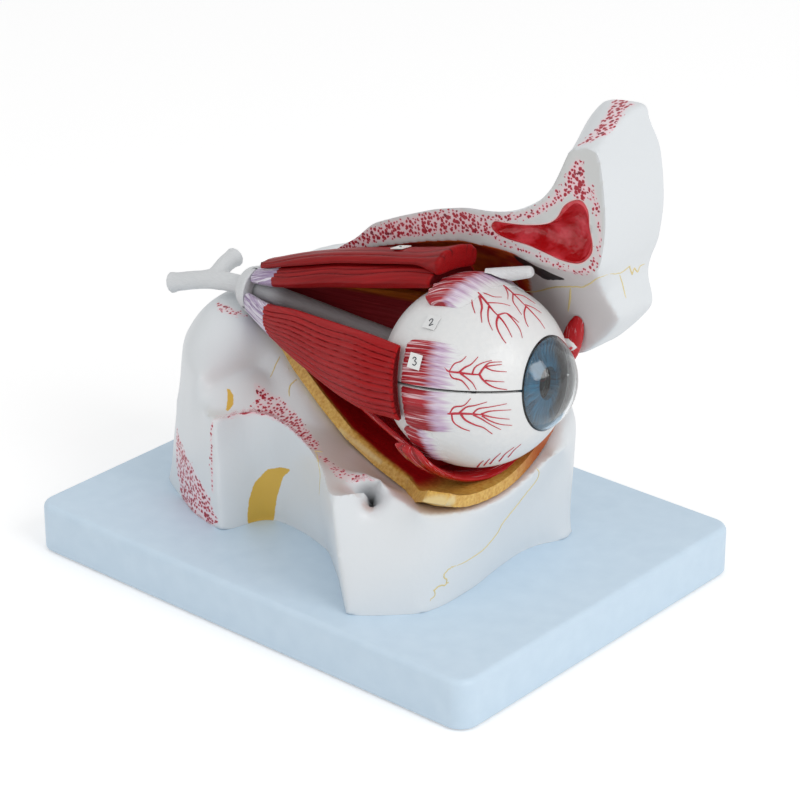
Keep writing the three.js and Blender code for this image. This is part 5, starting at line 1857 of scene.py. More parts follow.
@dataclass
class ObliqueBand:
    """The wet band that hugs the underside of the eyeball."""

    steps: int = 150
    around: int = 64
    inner: float = 40.2
    turns: tuple[float, float] = (212.0, 110.0)
    middles: tuple[float, float] = (57.0, 14.0)
    half_width: float = 9.2
    thickness: float = 4.2
    rounded: float = 0.02
    length: float = 75.0

    def section(self, t: float) -> tuple[Array, Array, Array]:
        """One section of the band.

        Args:
            t: Its place from 0 at the outer end to 1 at the inner end.

        Returns:
            The ring's points, fibre values and ridge values.
        """
        angle = math.radians(self.turns[0] + self.turns[1] * t)
        middle = self.middles[0] + self.middles[1] * t
        end = math.sqrt(max(0.0, 1 - max(0.0, 1 - min(t, 1 - t) / self.rounded) ** 2))
        half = self.half_width * (0.78 + 0.22 * math.sin(math.pi * t)) * (0.55 + 0.45 * end)
        thick = self.thickness * (0.5 + 0.5 * math.sin(math.pi * t) ** 0.5) * (0.3 + 0.7 * end)
        centre_y = CONE_END[1] - max(0, middle - BALL_CENTRE[0]) * 0.25
        a = np.linspace(0, 2 * np.pi, self.around, endpoint=False)
        fold = 0.5 * (np.abs(np.cos(3.2 * np.cos(a) + 0.8 * math.sin(5 * t))) - 0.6)
        pleat = np.where(np.sin(a) > 0, fold * np.sin(a), 0) * end
        radius = self.inner + thick / 2 + (thick / 2) * np.sin(a) + pleat
        height = PLATE_TOP + CONE_END[2] + radius * math.sin(angle)
        points = np.stack([middle + half * np.cos(a), centre_y + radius * math.cos(angle), height], axis=1)
        fibre = np.stack([half * np.cos(a), np.full(self.around, self.length * t), 9 * np.sin(a)], axis=1)
        return points, fibre, 0.5 + fold

    def build(self) -> None:
        """Makes the band."""
        rows = [self.section(t) for t in np.linspace(0, 1, self.steps)]
        rings, fibre, ridge = (np.array([row[i] for row in rows]) for i in range(3))
        made = skin(rings, {"fibre": fibre, "ridge": ridge})
        finish_piece("inferior_oblique_muscle", made, WET_FLESH, Body.STAND,
                     ("inferior_oblique",), 60)


@dataclass
class Muscles:
    """All muscles of the orbit and the magnets that hold the two removable ones."""

    lateral_turn: float = 207.0
    superior_turn: float = 100.0

    def straps(self) -> list[Strap]:
        """The straight muscles and the lid raiser.

        Returns:
            The straps in the order in which they are made.
        """
        lateral = np.array([[-66.2, 166, 250, 4, 0], [-51, 168, 250, 5.5, 0], [-30, 155, 232, 6.5, 0],
                            [2, 151, 218, 7.2, 0], [31, 149, 204, 8, 0], [54.5, 149, 193, 4, 0]])
        superior = np.array([[-66.2, 64, 136, 4, 0], [-51, 62, 134, 5.5, 0], [-14, 60, 117, 7.5, 0],
                             [17, 60, 111, 7.5, 0], [38, 60, 107, 7.5, 0], [46, 60, 105, 6, 0]])
        levator = np.array([[-62, 70, 110, 2.4, 4.8], [-45, 68, 108, 3.4, 6.6], [-14, 65, 101, 4.2, 8.1],
                            [30, 64, 98, 4.2, 8.1], [41, 65, 98, 4.4, 8.0], [49, 67, 101, 13.0, 1.5]])
        medial = np.array([[-66.2, -30, 30, 3.5, 0], [-30, -24, 26, 5.5, 0], [47.5, -20, 24, 4.4, 0]])
        inferior = np.array([[-66.2, 268, 322, 3, 0], [-51, 258, 314, 4, 0], [-30, 242, 306, 4.5, 0],
                             [2, 232, 300, 4.5, 0], [31, 228, 296, 4.5, 0], [50, 232, 292, 3.6, 0]])
        oblique = np.array([[-66.2, 36, 56, 3, 0], [-30, 36, 52, 4.5, 0], [20, 36, 50, 4.5, 1],
                            [58, 36, 44, 3, 2]])
        return [
            Strap("lateral_rectus_muscle", "lateral_rectus", lateral, Body.LATERAL, LATERAL_FLESH, skew=2, ribs=13,
                  rib_depth=0.8, rib_wander=0.2, across=170, seed=2, magnet=self.lateral_turn),
            Strap("superior_rectus_muscle", "superior_rectus", superior, Body.SUPERIOR, SUPERIOR_FLESH, ribs=9,
                  rib_depth=0.9, across=130, seed=5, magnet=self.superior_turn),
            Strap("lid_raising_muscle", "levator_muscle", levator, Body.SUPERIOR, FLESH, ribs=4, rib_depth=0.5,
                  rounding=1.8, seed=3, dark_end=0.1),
            Strap("medial_rectus_muscle", "medial_rectus", medial, Body.STAND, DARK_FLESH, ribs=9, rib_depth=0.5,
                  across=120, seed=7),
            Strap("inferior_rectus_muscle", "inferior_rectus", inferior, Body.STAND, WET_FLESH, ribs=5,
                  rib_depth=0.5, seed=8),
            Strap("superior_oblique_muscle", "superior_oblique", oblique, Body.STAND, AMBER_FLESH, ribs=4,
                  rib_depth=0.4, seed=9, across=48),
        ]

    def build_magnets(self) -> None:
        """Disc magnets in the muscles and in the ring."""
        for side, degrees, body in (("lateral", self.lateral_turn, Body.LATERAL),
                                    ("superior", self.superior_turn, Body.SUPERIOR)):
            for name, node, owner, ends in (
                (f"{side}_muscle_magnet", f"{side}_rectus_magnet", body, (0.3, 1.9)),
                (f"{side}_ring_magnet", f"ring_magnet_{side}", Body.STAND, (-2.2, -0.6)),
            ):
                disc = rod(*(magnet_spot(degrees, CONE_START[0] + end) for end in ends), 1.2, 0.15)
                finish_piece(name, disc, STEEL, owner, (node,))

    def build(self) -> None:
        """Makes all muscles and magnets."""
        for strap in self.straps():
            strap.build()
        ObliqueBand().build()
        self.build_magnets()


# ---------------------------------------------------------------- soft parts round the eyeball

@dataclass
class Surroundings:
    """Nerve, tendon ring, fat, lacrimal sac and the tendon in front of the roof."""

    def build_nerve(self) -> None:
        """The nerve with its limb, the tendon ring and the tendon in front of the roof."""
        nerve = Casting("optic_nerve", 7, rounds=24, near=0.4, far=2.5).shape()
        # Painted shade on the nerve inside the muscle cone, rising from x = -60 to -46 mm.
        nerve.values = {"shade": 0.8 * smooth_step(nerve.points[:, 0], -60, -46)}
        finish_piece("optic_nerve_and_chiasm", nerve, NERVE, Body.STAND, ("optic_nerve",), 60)
        ring = Casting("tendon_ring", 6, rounds=12, near=0.4, far=2.0).shape()
        finish_piece("common_tendon_ring", ring, NERVE, Body.STAND, ("tendon_ring",), 60)
        tendon = Casting("superior_oblique_tendon", 6, rounds=16, near=0.3, far=1.5).shape()
        middle = tendon.points.mean(axis=0)
        axis = np.linalg.svd(tendon.points - middle, full_matrices=False)[2][0]
        axis = axis * np.sign(axis[0])
        along = (tendon.points - middle) @ axis
        t = (along - along.min()) / np.ptp(along)
        wide = (1.4 - 0.45 * t) * np.sqrt(np.clip(1 - np.clip((t - 0.88) / 0.125, 0, 1) ** 2, 0.02, 1))
        line = middle + along[:, None] * axis
        tendon.points = line + (tendon.points - line) * wide[:, None]
        finish_piece("trochlear_tendon", tendon, NERVE, Body.UPPER, ("superior_oblique_tendon",), 60)

    def build_fat(self) -> None:
        """The fat under the eyeball, with its pale edge that is partly a painted highlight, cream patch, orange
        end and red inner face.
        """
        fat = Casting("orbital_fat", 8, rounds=40, near=0.0, far=2.5).shape()
        normals = point_normals(fat)
        tree = surface(fat)
        cream = Stroke([(426, 502, 2.0), (438, 502, 2.6), (452, 501, 2.0)], 1.0, -0.3)
        # A pale line along the lateral edge: lighter paint on the cut edge with a painted highlight along it.
        rim = Stroke([(268, 334, 0.9), (300, 380, 0.9), (340, 430, 0.9), (380, 462, 0.8)], 1.0, -0.3)
        pale = 0.85 * smooth_step(cream.lay(tree, fat.points, normals), -1.2, 1.0)
        pale = np.maximum(pale, 0.6 * smooth_step(rim.lay(tree, fat.points, normals), -0.8, 0.6))
        height = fat.points[:, 2] - PLATE_TOP
        orange = smooth_step(fat.points[:, 1], -18, 8) * smooth_step(fat.points[:, 0], 62, 74)
        deep = smooth_step(np.linalg.norm(fat.points - np.array(BALL_CENTRE), axis=1), 47, 42)
        y, height_line, radius = cone_at(fat.points[:, 0])
        inward = np.stack([0 * y, y - fat.points[:, 1], PLATE_TOP + height_line - fat.points[:, 2]], axis=1)
        facing = np.sum(inward * normals, axis=1) / np.maximum(np.linalg.norm(inward, axis=1), 1e-6)
        angle = np.degrees(np.arctan2(-inward[:, 2], -inward[:, 1])) % 360
        rim_angle = np.interp(fat.points[:, 0], (-60, -46, -34, -8, 12, 28, 47, 60),
                              (258, 248, 236, 232, 233, 239, 240, 232))
        from_rim = np.radians(angle - rim_angle) * np.maximum(radius, 8)
        inner = smooth_step(facing, 0.3, 0.6) * smooth_step(from_rim, 1.5, 3.5)
        flesh = inner * smooth_step(fat.points[:, 0], 62, 50)
        orange = np.clip(np.maximum(orange, 0.35 * deep * (height < 70)), 0, 1)
        fat.values = {"flesh": flesh, "cream": pale, "orange": orange}
        finish_piece("orbital_fat_pad", fat, FAT, Body.STAND, ("orbital_fat",), 60)

    def build_sac(self) -> None:
        """The lacrimal sac with its pale canaliculus block and dark opening."""
        sac = Casting("lacrimal_sac", 6, rounds=16, near=0.3, far=1.5).shape()
        points = sac.points
        sac.values = {"fibre": points * np.array([1.0, 0.2, 0.2]), "ridge": np.ones(len(points))}
        made = finish_piece("lacrimal_sac_pad", sac, WET_FLESH, Body.STAND, ("lacrimal_sac",), 60)
        tree = search_tree(made)
        for name, finish, dots, half in (
            ("canaliculus_block", SCLERA, [(565, 342), (568, 342), (571, 345), (574, 349)], 1.7),
            ("canaliculus_opening", VESSEL, [(571, 346), (571.8, 346.8), (572.5, 347.5)], 0.75),
        ):
            hits = [hit for hit in (VIEW.hit(tree, *dot) for dot in dots) if hit]
            if len(hits) > 2:
                lift = -0.3 * half if half > 1 else 1.3
                course = np.array([place + lift * normal for place, normal in hits])
                paint_lines(name, [(course, np.full(len(course), half))], finish, Body.STAND, Slot.BONE, 12)

    def build(self) -> None:
        """Makes them all."""
        self.build_nerve()
        self.build_fat()
        self.build_sac()


# ---------------------------------------------------------------- eyeball

@dataclass
class VesselTree:
    """A painted vessel tree: each twig by its points of the picture and its half width at the root in mm."""

    twigs: list[tuple[float, list[tuple[float, float]]]]


ABOVE_TEMPLE = VesselTree([
    (0.55, [(473.8, 289.5), (480.2, 295.2), (487.0, 302.9), (493.1, 310.7), (498.2, 315.9)]),
    (0.42, [(498.2, 315.9), (496.5, 321.9), (497.4, 328.8), (501.7, 337.4), (506.0, 343.4)]),
    (0.36, [(498.2, 315.9), (503.4, 321.9), (507.7, 328.8), (512.0, 337.4)]),
    (0.32, [(498.2, 315.0), (506.0, 313.3), (512.9, 317.6), (518.9, 322.7)]),
    (0.26, [(507.0, 313.6), (514.6, 321.9), (519.8, 329.6), (522.3, 338.2)]),
    (0.40, [(474.1, 290.9), (471.9, 297.8), (472.4, 304.7), (475.0, 313.3)]),
    (0.46, [(479.3, 296.1), (481.9, 306.4), (481.0, 313.3), (481.9, 322.7)]),
    (0.34, [(488.8, 306.4), (487.9, 313.3), (488.8, 321.9), (492.5, 330.5)]),
    (0.26, [(479.0, 292.0), (487.0, 294.3), (493.9, 296.9), (501.7, 297.3)]),
    (0.26, [(487.0, 302.9), (493.9, 302.9), (502.5, 303.8), (510.3, 305.9)]),
])
ABOVE_FRONT = VesselTree([
    (0.36, [(503.4, 285.7), (512.9, 293.5), (521.5, 302.1), (525.8, 306.4)]),
    (0.26, [(505.1, 287.5), (507.7, 293.5), (507.7, 299.5)]),
    (0.26, [(512.9, 293.5), (512.9, 301.2), (517.2, 308.1), (521.5, 315.0)]),
    (0.32, [(525.8, 306.4), (524.1, 313.3), (525.8, 321.9), (528.3, 327.0)]),
    (0.28, [(525.8, 306.4), (532.7, 313.3), (539.5, 321.0), (544.7, 328.8)]),
    (0.22, [(514.6, 294.3), (523.2, 296.1), (530.1, 300.4), (535.2, 303.8)]),
    (0.22, [(524.9, 304.7), (533.5, 308.1), (541.3, 313.3)]),
])
TEMPLE_UPPER = VesselTree([
    (0.55, [(444.4, 368.2), (449.2, 371.5), (459.5, 372.7), (473.3, 374.4), (479.3, 374.4)]),
    (0.36, [(479.3, 374.4), (484.5, 367.5), (490.5, 365.8), (501.7, 364.4)]),
    (0.26, [(485.3, 367.2), (492.2, 370.4), (499.9, 371.4), (506.8, 371.8)]),
    (0.40, [(479.3, 374.4), (482.7, 379.5), (488.8, 384.7), (497.0, 388.1), (508.6, 389.9)]),
    (0.26, [(485.3, 380.4), (493.9, 381.3), (504.3, 381.8)]),
    (0.34, [(449.5, 371.0), (454.3, 364.0), (461.2, 361.1), (466.4, 356.3)]),
    (0.36, [(459.5, 372.0), (464.7, 367.5), (471.5, 364.0), (478.1, 356.8)]),
    (0.30, [(472.4, 373.5), (475.0, 367.5), (481.9, 363.2), (491.9, 360.3)]),
    (0.30, [(481.0, 371.0), (488.8, 363.2), (501.7, 361.8)]),
    (0.36, [(449.2, 372.0), (452.6, 377.8), (461.2, 380.4), (466.4, 385.6), (469.5, 389.9)]),
    (0.32, [(460.4, 373.5), (466.4, 377.8), (472.4, 383.0), (476.4, 389.9)]),
])
TEMPLE_LOWER = VesselTree([
    (0.55, [(447.8, 413.4), (459.5, 413.4), (473.3, 414.0), (482.7, 414.8)]),
    (0.36, [(450.0, 412.5), (454.3, 407.1), (463.8, 405.4), (470.7, 398.5)]),
    (0.34, [(459.5, 412.6), (466.4, 407.1), (475.0, 405.4), (487.0, 401.9)]),
    (0.30, [(473.3, 413.1), (478.4, 408.8), (488.8, 407.1), (506.8, 403.6)]),
    (0.28, [(481.0, 414.0), (488.8, 411.4), (497.4, 410.5), (511.1, 409.7)]),
    (0.30, [(482.7, 414.8), (493.9, 417.4), (509.4, 419.1)]),
    (0.40, [(451.8, 414.4), (453.5, 421.7), (461.2, 427.7), (469.8, 430.9)]),
    (0.40, [(461.2, 414.7), (465.5, 420.0), (475.0, 424.8), (483.6, 427.7), (492.2, 433.8)]),
    (0.32, [(473.3, 414.7), (481.9, 419.1), (488.8, 423.4), (500.8, 429.5)]),
    (0.28, [(481.9, 415.7), (490.5, 420.9), (500.8, 424.3), (512.0, 425.2)]),
])
UNDERSIDE = VesselTree([
    (0.34, [(477.5, 466.5), (480.0, 463.5), (483.6, 460.4)]),
    (0.30, [(484.0, 465.0), (487.5, 461.0), (490.0, 458.5)]),
    (0.32, [(490.0, 463.5), (494.5, 458.5), (500.5, 453.0)]),
    (0.28, [(499.0, 461.0), (505.0, 454.0), (514.0, 447.0)]),
    (0.22, [(508.0, 457.0), (514.0, 450.0), (521.0, 444.0)]),
])


@dataclass
class Pad:
    """A muscle's painted end on the ball.

    Its turns are its edges round the optical axis and its poles are its front and rear edges from the front
    pole, in degrees. Its rear corners are rounded at its first and at its last edge, as said, and its front
    stands further back at its last edge by the lean.
    """

    node: str
    upper: bool
    turns: tuple[float, float]
    poles: tuple[float, float]
    thick: float
    seed: int
    rounded: tuple[bool, bool] = (True, True)
    lean: float = 0.0
    across: int = 84
    along: int = 70
    ragged: float = 4.5
    ribs: float = 9.0
    corner_share: float = 0.16
    front_corner: float = 3.0
    rear_corner: float = 9.0
    off_ball: float = 0.02
    thinnest: float = 0.03
    least: float = 0.08

    def shape(self, radius: float) -> Shape:
        """Lays the pad on a ball.

        Args:
            radius: The ball's radius.

        Returns:
            The closed shape in the ball's frame.
        """
        chance = np.random.default_rng(self.seed)
        u = np.linspace(0, 1, self.across)

        def uneven(knots: int, least: float, most: float) -> Array:
            """Values that wander between two limits across the pad."""
            return np.interp(u, np.linspace(0, 1, knots), chance.uniform(least, most, knots))

        ragged, rear = uneven(15, 0, self.ragged), uneven(9, -0.8, 0.2)
        ribs = 0.5 + 0.5 * np.cos(2 * np.pi * np.cumsum(0.6 + 0.8 * uneven(12, 0, 1)) / self.across * self.ribs)
        t = np.linspace(0, 1, self.along) ** 0.9
        lip = np.sqrt(np.clip(1 - np.clip(1 - (1 - t) / 0.03, 0, 1) ** 2, 0, 1))
        low, high, fibre, fade = [], [], [], []
        base = radius + self.off_ball
        first, last = self.turns
        for i, ui in enumerate(u):
            turn = math.radians(first + (last - first) * ui)
            corner = max(self.rounded[0] * (1 - ui / self.corner_share),
                         self.rounded[1] * (1 - (1 - ui) / self.corner_share), 0.0)
            front = self.poles[0] + ragged[i] + self.front_corner * corner ** 2 + self.lean * ui
            back = self.poles[1] + rear[i] - self.rear_corner * (1 - math.sqrt(1 - min(corner, 1.0) ** 2))
            pole = np.radians(front + (back - front) * t)
            edge = math.sqrt(max(0.0, 1 - max(0.0, 1 - min(ui, 1 - ui) / 0.05) ** 2))
            rise = self.thick * (self.least + (1 - self.least) * smooth_step(t, 0.0, 0.55))
            rise = rise * (0.2 + 0.8 * lip) * (0.25 + 0.75 * edge)
            rise = rise * (1 - 0.28 * ribs[i] * smooth_step(t, 0.05, 0.3))
            for level, rows in ((np.full(self.along, base), low), (base + np.maximum(rise, self.thinnest), high)):
                rows.append(np.stack([level * np.cos(pole), level * np.sin(pole) * math.cos(turn),
                                      level * np.sin(pole) * math.sin(turn)], axis=1))
            fibre.append(np.stack([radius * (turn - math.radians(first)) * np.sin(pole), radius * pole,
                                   np.full(self.along, 3.7 * self.seed)], axis=1))
            fade.append(1 - t)
        rings, fibres, fades = (np.concatenate([np.array(there), np.array(back)[:, ::-1]], axis=1)
                                for there, back in ((low, high), (fibre, fibre), (fade, fade)))
        return skin(rings, {"fibre": fibres, "fade": fades}, Cap.PAIRS)


@dataclass
class Eyeball:
    """The eyeball in its own frame: x along the optical axis, y towards the nose, z across the split."""

    radius: float = 37.7
    wall: float = 3.0
    lining: float = 1.8
    limbus: float = 19.1
    half_gap: float = 0.45
    gap: float = 0.3
    running: float = 0.5
    centre: tuple[float, float, float] = BALL_CENTRE
    axis: tuple[float, float, float] = (0.984, 0.140, 0.110)
    up: tuple[float, float, float] = (-0.134, 0.177, 0.975)
    pull: tuple[float, float, float] = (0.97, -0.243, 0.0)
    nerve_way: tuple[float, float, float] = (-0.994, 0.108, -0.026)
    peg: float = 2.4
    peg_in_nerve: float = 9.5
    iris_x: float = 31.9
    iris_thick: float = 1.5
    iris_spread: float = 13.0
    pupil: float = 6.6
    lens_radius: float = 13.4
    lens_thick: float = 11.0
    cornea_rise: float = 10.6
    cornea_wall: float = 1.4
    pole: float = 0.02
    pins: tuple[float, ...] = (55.0, 205.0, 300.0)

    def frame(self) -> Array:
        """Axis, nose-ward and up directions as rows.

        Returns:
            Three unit rows.
        """
        x = unit(self.axis)
        y = unit(np.cross(self.up, x))
        return np.array([x, y, np.cross(x, y)])

    def world(self, points: Array) -> Array:
        """Takes points of the eyeball's frame into the part's frame."""
        return np.asarray(points) @ self.frame() + np.array(self.centre)

    def place(self, shape: Shape) -> Shape:
        """Puts a shape of the eyeball's frame in its place."""
        shape.points = self.world(shape.points)
        return shape

    def half_shell(self, side: int, outer: float, inner: float, ease_edge: float) -> Shape:
        """Half a hollow ball, open at the limbus and cut flat beside the split.

        Args:
            side: 1 for the upper half, -1 for the lower.
            outer: Outer radius.
            inner: Inner radius.
            ease_edge: Rounding of the outer edge along the split.

        Returns:
            The closed shape in the eyeball's frame.
        """
        rows, cols = 110, 120

        def sheet(radius: float, edge: float) -> Array:
            """Rows of points from the limbus to the rear pole on one side of the split."""
            start = math.asin(self.limbus / radius)
            end = math.pi - math.asin(self.half_gap / radius)
            grid = []
            for theta in np.linspace(start, end, rows):
                r = radius * math.sin(theta)
                floor = math.asin(min(1.0, self.half_gap / r))
                steps = [min(math.asin(min(1.0, (self.half_gap + d) / r)), math.pi / 2) for d in (0.1, 0.25, 0.5)]
                turn = np.concatenate([[floor], steps, np.linspace(steps[-1], math.pi - steps[-1], cols)[1:-1],
                                       [math.pi - s for s in steps[::-1]], [math.pi - floor]])
                height = r * np.sin(turn) - self.half_gap
                dip = edge * (1 - np.sqrt(np.clip(1 - (1 - np.clip(height / max(edge, 1e-6), 0, 1)) ** 2, 0, 1)))
                share = 1 - dip / radius
                grid.append(np.stack([radius * math.cos(theta) * share, r * np.cos(turn) * share,
                                      np.maximum(r * np.sin(turn) * share, self.half_gap)], axis=1))
            return np.array(grid)

        out, back = sheet(outer, ease_edge), sheet(inner, 0.0)
        n = out.shape[1]
        points = np.vstack([out.reshape(-1, 3), back.reshape(-1, 3)])
        a = np.arange(rows * n).reshape(rows, n)
        b = a + rows * n
        quads = [np.stack([a[:-1, :-1], a[:-1, 1:], a[1:, 1:], a[1:, :-1]], -1).reshape(-1, 4),
                 np.stack([b[:-1, :-1], b[1:, :-1], b[1:, 1:], b[:-1, 1:]], -1).reshape(-1, 4),
                 np.stack([a[0, :-1], b[0, :-1], b[0, 1:], a[0, 1:]], -1),
                 np.stack([a[:-1, 0], a[1:, 0], b[1:, 0], b[:-1, 0]], -1),
                 np.stack([a[:-1, -1], b[:-1, -1], b[1:, -1], a[1:, -1]], -1)]
        points[:, 2] *= side
        deep = np.concatenate([np.zeros(rows * n), np.ones(rows * n)])
        return Shape(points, np.vstack(quads).tolist(), {"inner": deep})

    def peg_ends(self) -> tuple[Array, Array]:
        """The peg's ends in the part's frame: in the nerve and in the ball.

        Returns:
            Both ends in millimetres.
        """
        way = unit(self.nerve_way)
        mouth = np.array(self.centre) + way * (self.radius + self.running)
        along = np.array(self.pull)
        return mouth - along * self.peg_in_nerve, mouth + along * (self.running + self.wall)

    def build_shells(self) -> None:
        """Both halves of the white shell and of its lining, with the socket and the pins."""
        root, tip = self.peg_ends()
        local = (np.array([root, tip + np.array(self.pull) * self.gap]) - np.array(self.centre)) @ self.frame().T
        socket = rod(local[0], local[1], self.peg + self.running, SHARP)
        mid = self.radius - self.wall / 2
        spots = [(mid * math.cos(math.radians(a)), mid * math.sin(math.radians(a))) for a in self.pins]
        holes = [rod(np.array([x, y, -2.9]), (x, y, 2.9), 1.1, SHARP) for x, y in spots]
        outer = self.radius - self.wall - self.gap
        for side, half, body in ((1, "upper", Body.UPPER), (-1, "lower", Body.EYEBALL)):
            shell = self.half_shell(side, self.radius, self.radius - self.wall, 0.4).carve(socket, *holes)
            finish_piece(f"white_shell_{half}", self.place(shell), SCLERA, body,
                         (f"sclera_{half}_half",), 35)
            lining = self.half_shell(side, outer, outer - self.lining, 0.0)
            finish_piece(f"vessel_layer_{half}", self.place(lining), CHOROID, body,
                         (f"choroid_{half}_half",), 35)
        for i, (x, y) in enumerate(spots):
            pin = self.place(rod(np.array([x, y, -2.6]), (x, y, 2.6), 0.8, 0.25))
            finish_piece(f"seam_pin_{i + 1}", pin, BLACKENED, Body.EYEBALL, (f"locating_pin_{i + 1}",))
        peg = rod(root + 0.3 * np.array(self.pull), tip - 0.3 * np.array(self.pull), self.peg, 0.5)
        finish_piece("eyeball_peg", peg, STEEL, Body.STAND, ("eyeball_mount_peg",))

    def turned_part(self, profile: Array, segments: int = 96) -> Shape:
        """Turns a profile of x and radius about the optical axis, in the part's frame."""
        return self.place(turned(profile, (0, 0, 0), (1, 0, 0), segments))

    def ring_part(self, profile: Array, segments: int = 128) -> Shape:
        """Turns a closed profile of x and radius into a ring, in the part's frame.

        Args:
            profile: Rows of x and radius.
            segments: Steps round.

        Returns:
            The ring with its fibre values.
        """
        turn = np.linspace(0, 2 * np.pi, segments, endpoint=False)
        x, radius = profile.T
        rings = np.array([np.stack([x, radius * math.cos(t), radius * math.sin(t)], axis=1) for t in turn])
        index = np.arange(rings.shape[0] * rings.shape[1]).reshape(rings.shape[:2])
        after, beside = np.roll(index, -1, axis=0), np.roll(index, -1, axis=1)
        both = np.roll(after, -1, axis=1)
        faces = np.stack([index, after, both, beside], -1).reshape(-1, 4).tolist()
        arc = np.repeat(turn[:, None] * self.iris_spread, len(profile), axis=1).ravel()
        out = np.tile(radius - self.pupil, segments)
        around = arc / self.iris_spread
        fibre = np.stack([self.iris_spread * np.cos(around), out, self.iris_spread * np.sin(around)], axis=1)
        return self.place(Shape(rings.reshape(-1, 3), faces, {"fibre": fibre}))

    @staticmethod
    def bow(wide: float, rise: float) -> float:
        """Radius of the sphere whose cap has this half width and rise."""
        return (wide ** 2 + rise ** 2) / (2 * rise)

    def lens_middle(self) -> float:
        """Where the middle of the lens lies on the optical axis."""
        return self.iris_x - self.iris_thick - self.running - self.lens_thick / 2

    def build_cornea(self) -> None:
        """The clear dome, with painted reflection and shade on its side towards the nose."""
        base = math.sqrt(self.radius ** 2 - self.limbus ** 2) + self.gap

        def dome(radius: float, rise: float, steps: int = 28) -> Array:
            """Profile of a dome from its rim to its pole."""
            sphere = self.bow(radius, rise)
            a = np.linspace(math.asin(min(1.0, radius / sphere)), 0, steps)
            return np.stack([base + rise - sphere + sphere * np.cos(a), sphere * np.sin(a)], axis=1)

        front = dome(self.limbus, self.cornea_rise)
        back = dome(self.limbus - self.cornea_wall, self.cornea_rise - self.cornea_wall)[::-1]
        cornea = self.turned_part(np.vstack([back, front]))
        along, medial = ((cornea.points - np.array(self.centre)) @ way for way in self.frame()[:2])
        # The value "rim" sets where the dome carries painted reflection and shade.
        cornea.values = {"rim": 0.9 * smooth_step(medial, 4.5, 9.5) * smooth_step(along, base - 2, base + 2)}
        finish_piece("clear_cornea", cornea, CLEAR, Body.CORNEA, ("cornea",), 60)

    def build_iris(self) -> None:
        """The coloured disc round the pupil."""
        rim, x = self.limbus - self.gap - 0.4, self.iris_x
        steps = np.linspace(0, 1, 12)
        swell = x + 1.2 - 1.2 * steps ** 0.8 + 0.25 * np.sin(steps * 9)
        face = np.stack([swell, self.pupil + (rim - self.pupil) * steps], axis=1)
        iris = np.vstack([[x - self.iris_thick, self.pupil + 0.3], face, [x - self.iris_thick, rim]])
        finish_piece("iris_disc", self.ring_part(iris[::-1]), IRIS, Body.IRIS, ("iris",), 50)

    def build_lens(self) -> None:
        """The lens behind the iris."""
        middle, half = self.lens_middle(), self.lens_thick / 2
        sphere = self.bow(self.lens_radius, half)
        a = np.linspace(0, math.asin(self.lens_radius / sphere) * 0.95, 20)
        rear = np.stack([middle + (sphere - half) - sphere * np.cos(a), sphere * np.sin(a)], axis=1)
        fore = np.stack([2 * middle - rear[:, 0], rear[:, 1]], axis=1)[::-1]
        rear[0, 1] = fore[-1, 1] = self.pole
        lens = self.turned_part(np.vstack([rear, fore]))
        finish_piece("clear_lens", lens, GEL, Body.LENS, ("lens",), 60)

    def build_vitreous(self) -> None:
        """The clear body that fills the ball behind the lens, with a seat for it."""
        middle = self.lens_middle()
        ball = self.radius - self.wall - self.gap - self.lining - self.running
        flat = middle + 1.5
        a = np.linspace(math.pi, math.acos(flat / ball), 40)
        outer = np.stack([ball * np.cos(a), ball * np.sin(a)], axis=1)
        wide, tall = self.lens_radius + 2 * self.gap, self.lens_thick / 2 + self.gap
        big = self.bow(wide, tall)
        a = np.linspace(math.asin(wide / big) * 0.97, 0, 16)
        seat = np.stack([middle + (big - tall) - big * np.cos(a), big * np.sin(a)], axis=1)
        outer[0, 1] = seat[-1, 1] = self.pole
        body = np.vstack([outer, [[flat, wide]], seat[seat[:, 0] < flat]])
        finish_piece("clear_vitreous_body", self.turned_part(body), GEL, Body.VITREOUS,
                     ("vitreous_body",), 60)

    def build_pads(self) -> None:
        """All six pads."""
        for pad in (
            Pad("lateral_insertion_upper", True, (151.5, 178.9), (68, 108.5), 1.3, 1, (True, False)),
            Pad("lateral_insertion_lower", False, (181.1, 207.5), (69, 108), 1.3, 2, (False, True)),
            Pad("superior_insertion", True, (62, 127), (69, 109), 3.0, 3, lean=7.0),
            Pad("inferior_insertion", False, (208, 240), (86, 112), 1.2, 4),
            Pad("medial_insertion_upper", True, (1.5, 22), (66, 102), 1.2, 5, (False, True)),
            Pad("medial_insertion_lower", False, (340, 358.5), (66, 102), 1.2, 6, (True, False)),
        ):
            shape = pad.shape(self.radius)
            side, body = (1, Body.UPPER) if pad.upper else (-1, Body.EYEBALL)
            shape.points[:, 2] = side * np.maximum(side * shape.points[:, 2], self.half_gap)
            finish_piece(f"{pad.node}_pad", self.place(shape), PAD, body, (pad.node,), 60)

    def sight(self, px: float, py: float) -> Array:
        """Point of the ball seen through a point of the picture, in the eyeball's frame.

        Args:
            px: Picture point from the left.
            py: Picture point from the top.

        Returns:
            The point, or the nearest one where the ray misses the ball.
        """
        start = (np.array(VIEW.eye) - np.array(self.centre)) @ self.frame().T
        way = VIEW.ray(px, py) @ self.frame().T
        b = float(start @ way)
        root = math.sqrt(max(0.0, b * b - float(start @ start) + self.radius ** 2))
        return start + (-b - root) * way

    def twig_course(self, dots: list[tuple[float, float]]) -> Array:
        """Follows a twig's picture points over the ball in small steps."""
        course = ease(np.array([self.sight(*dot) for dot in dots]), 7)
        return course * self.radius / np.linalg.norm(course, axis=1, keepdims=True)

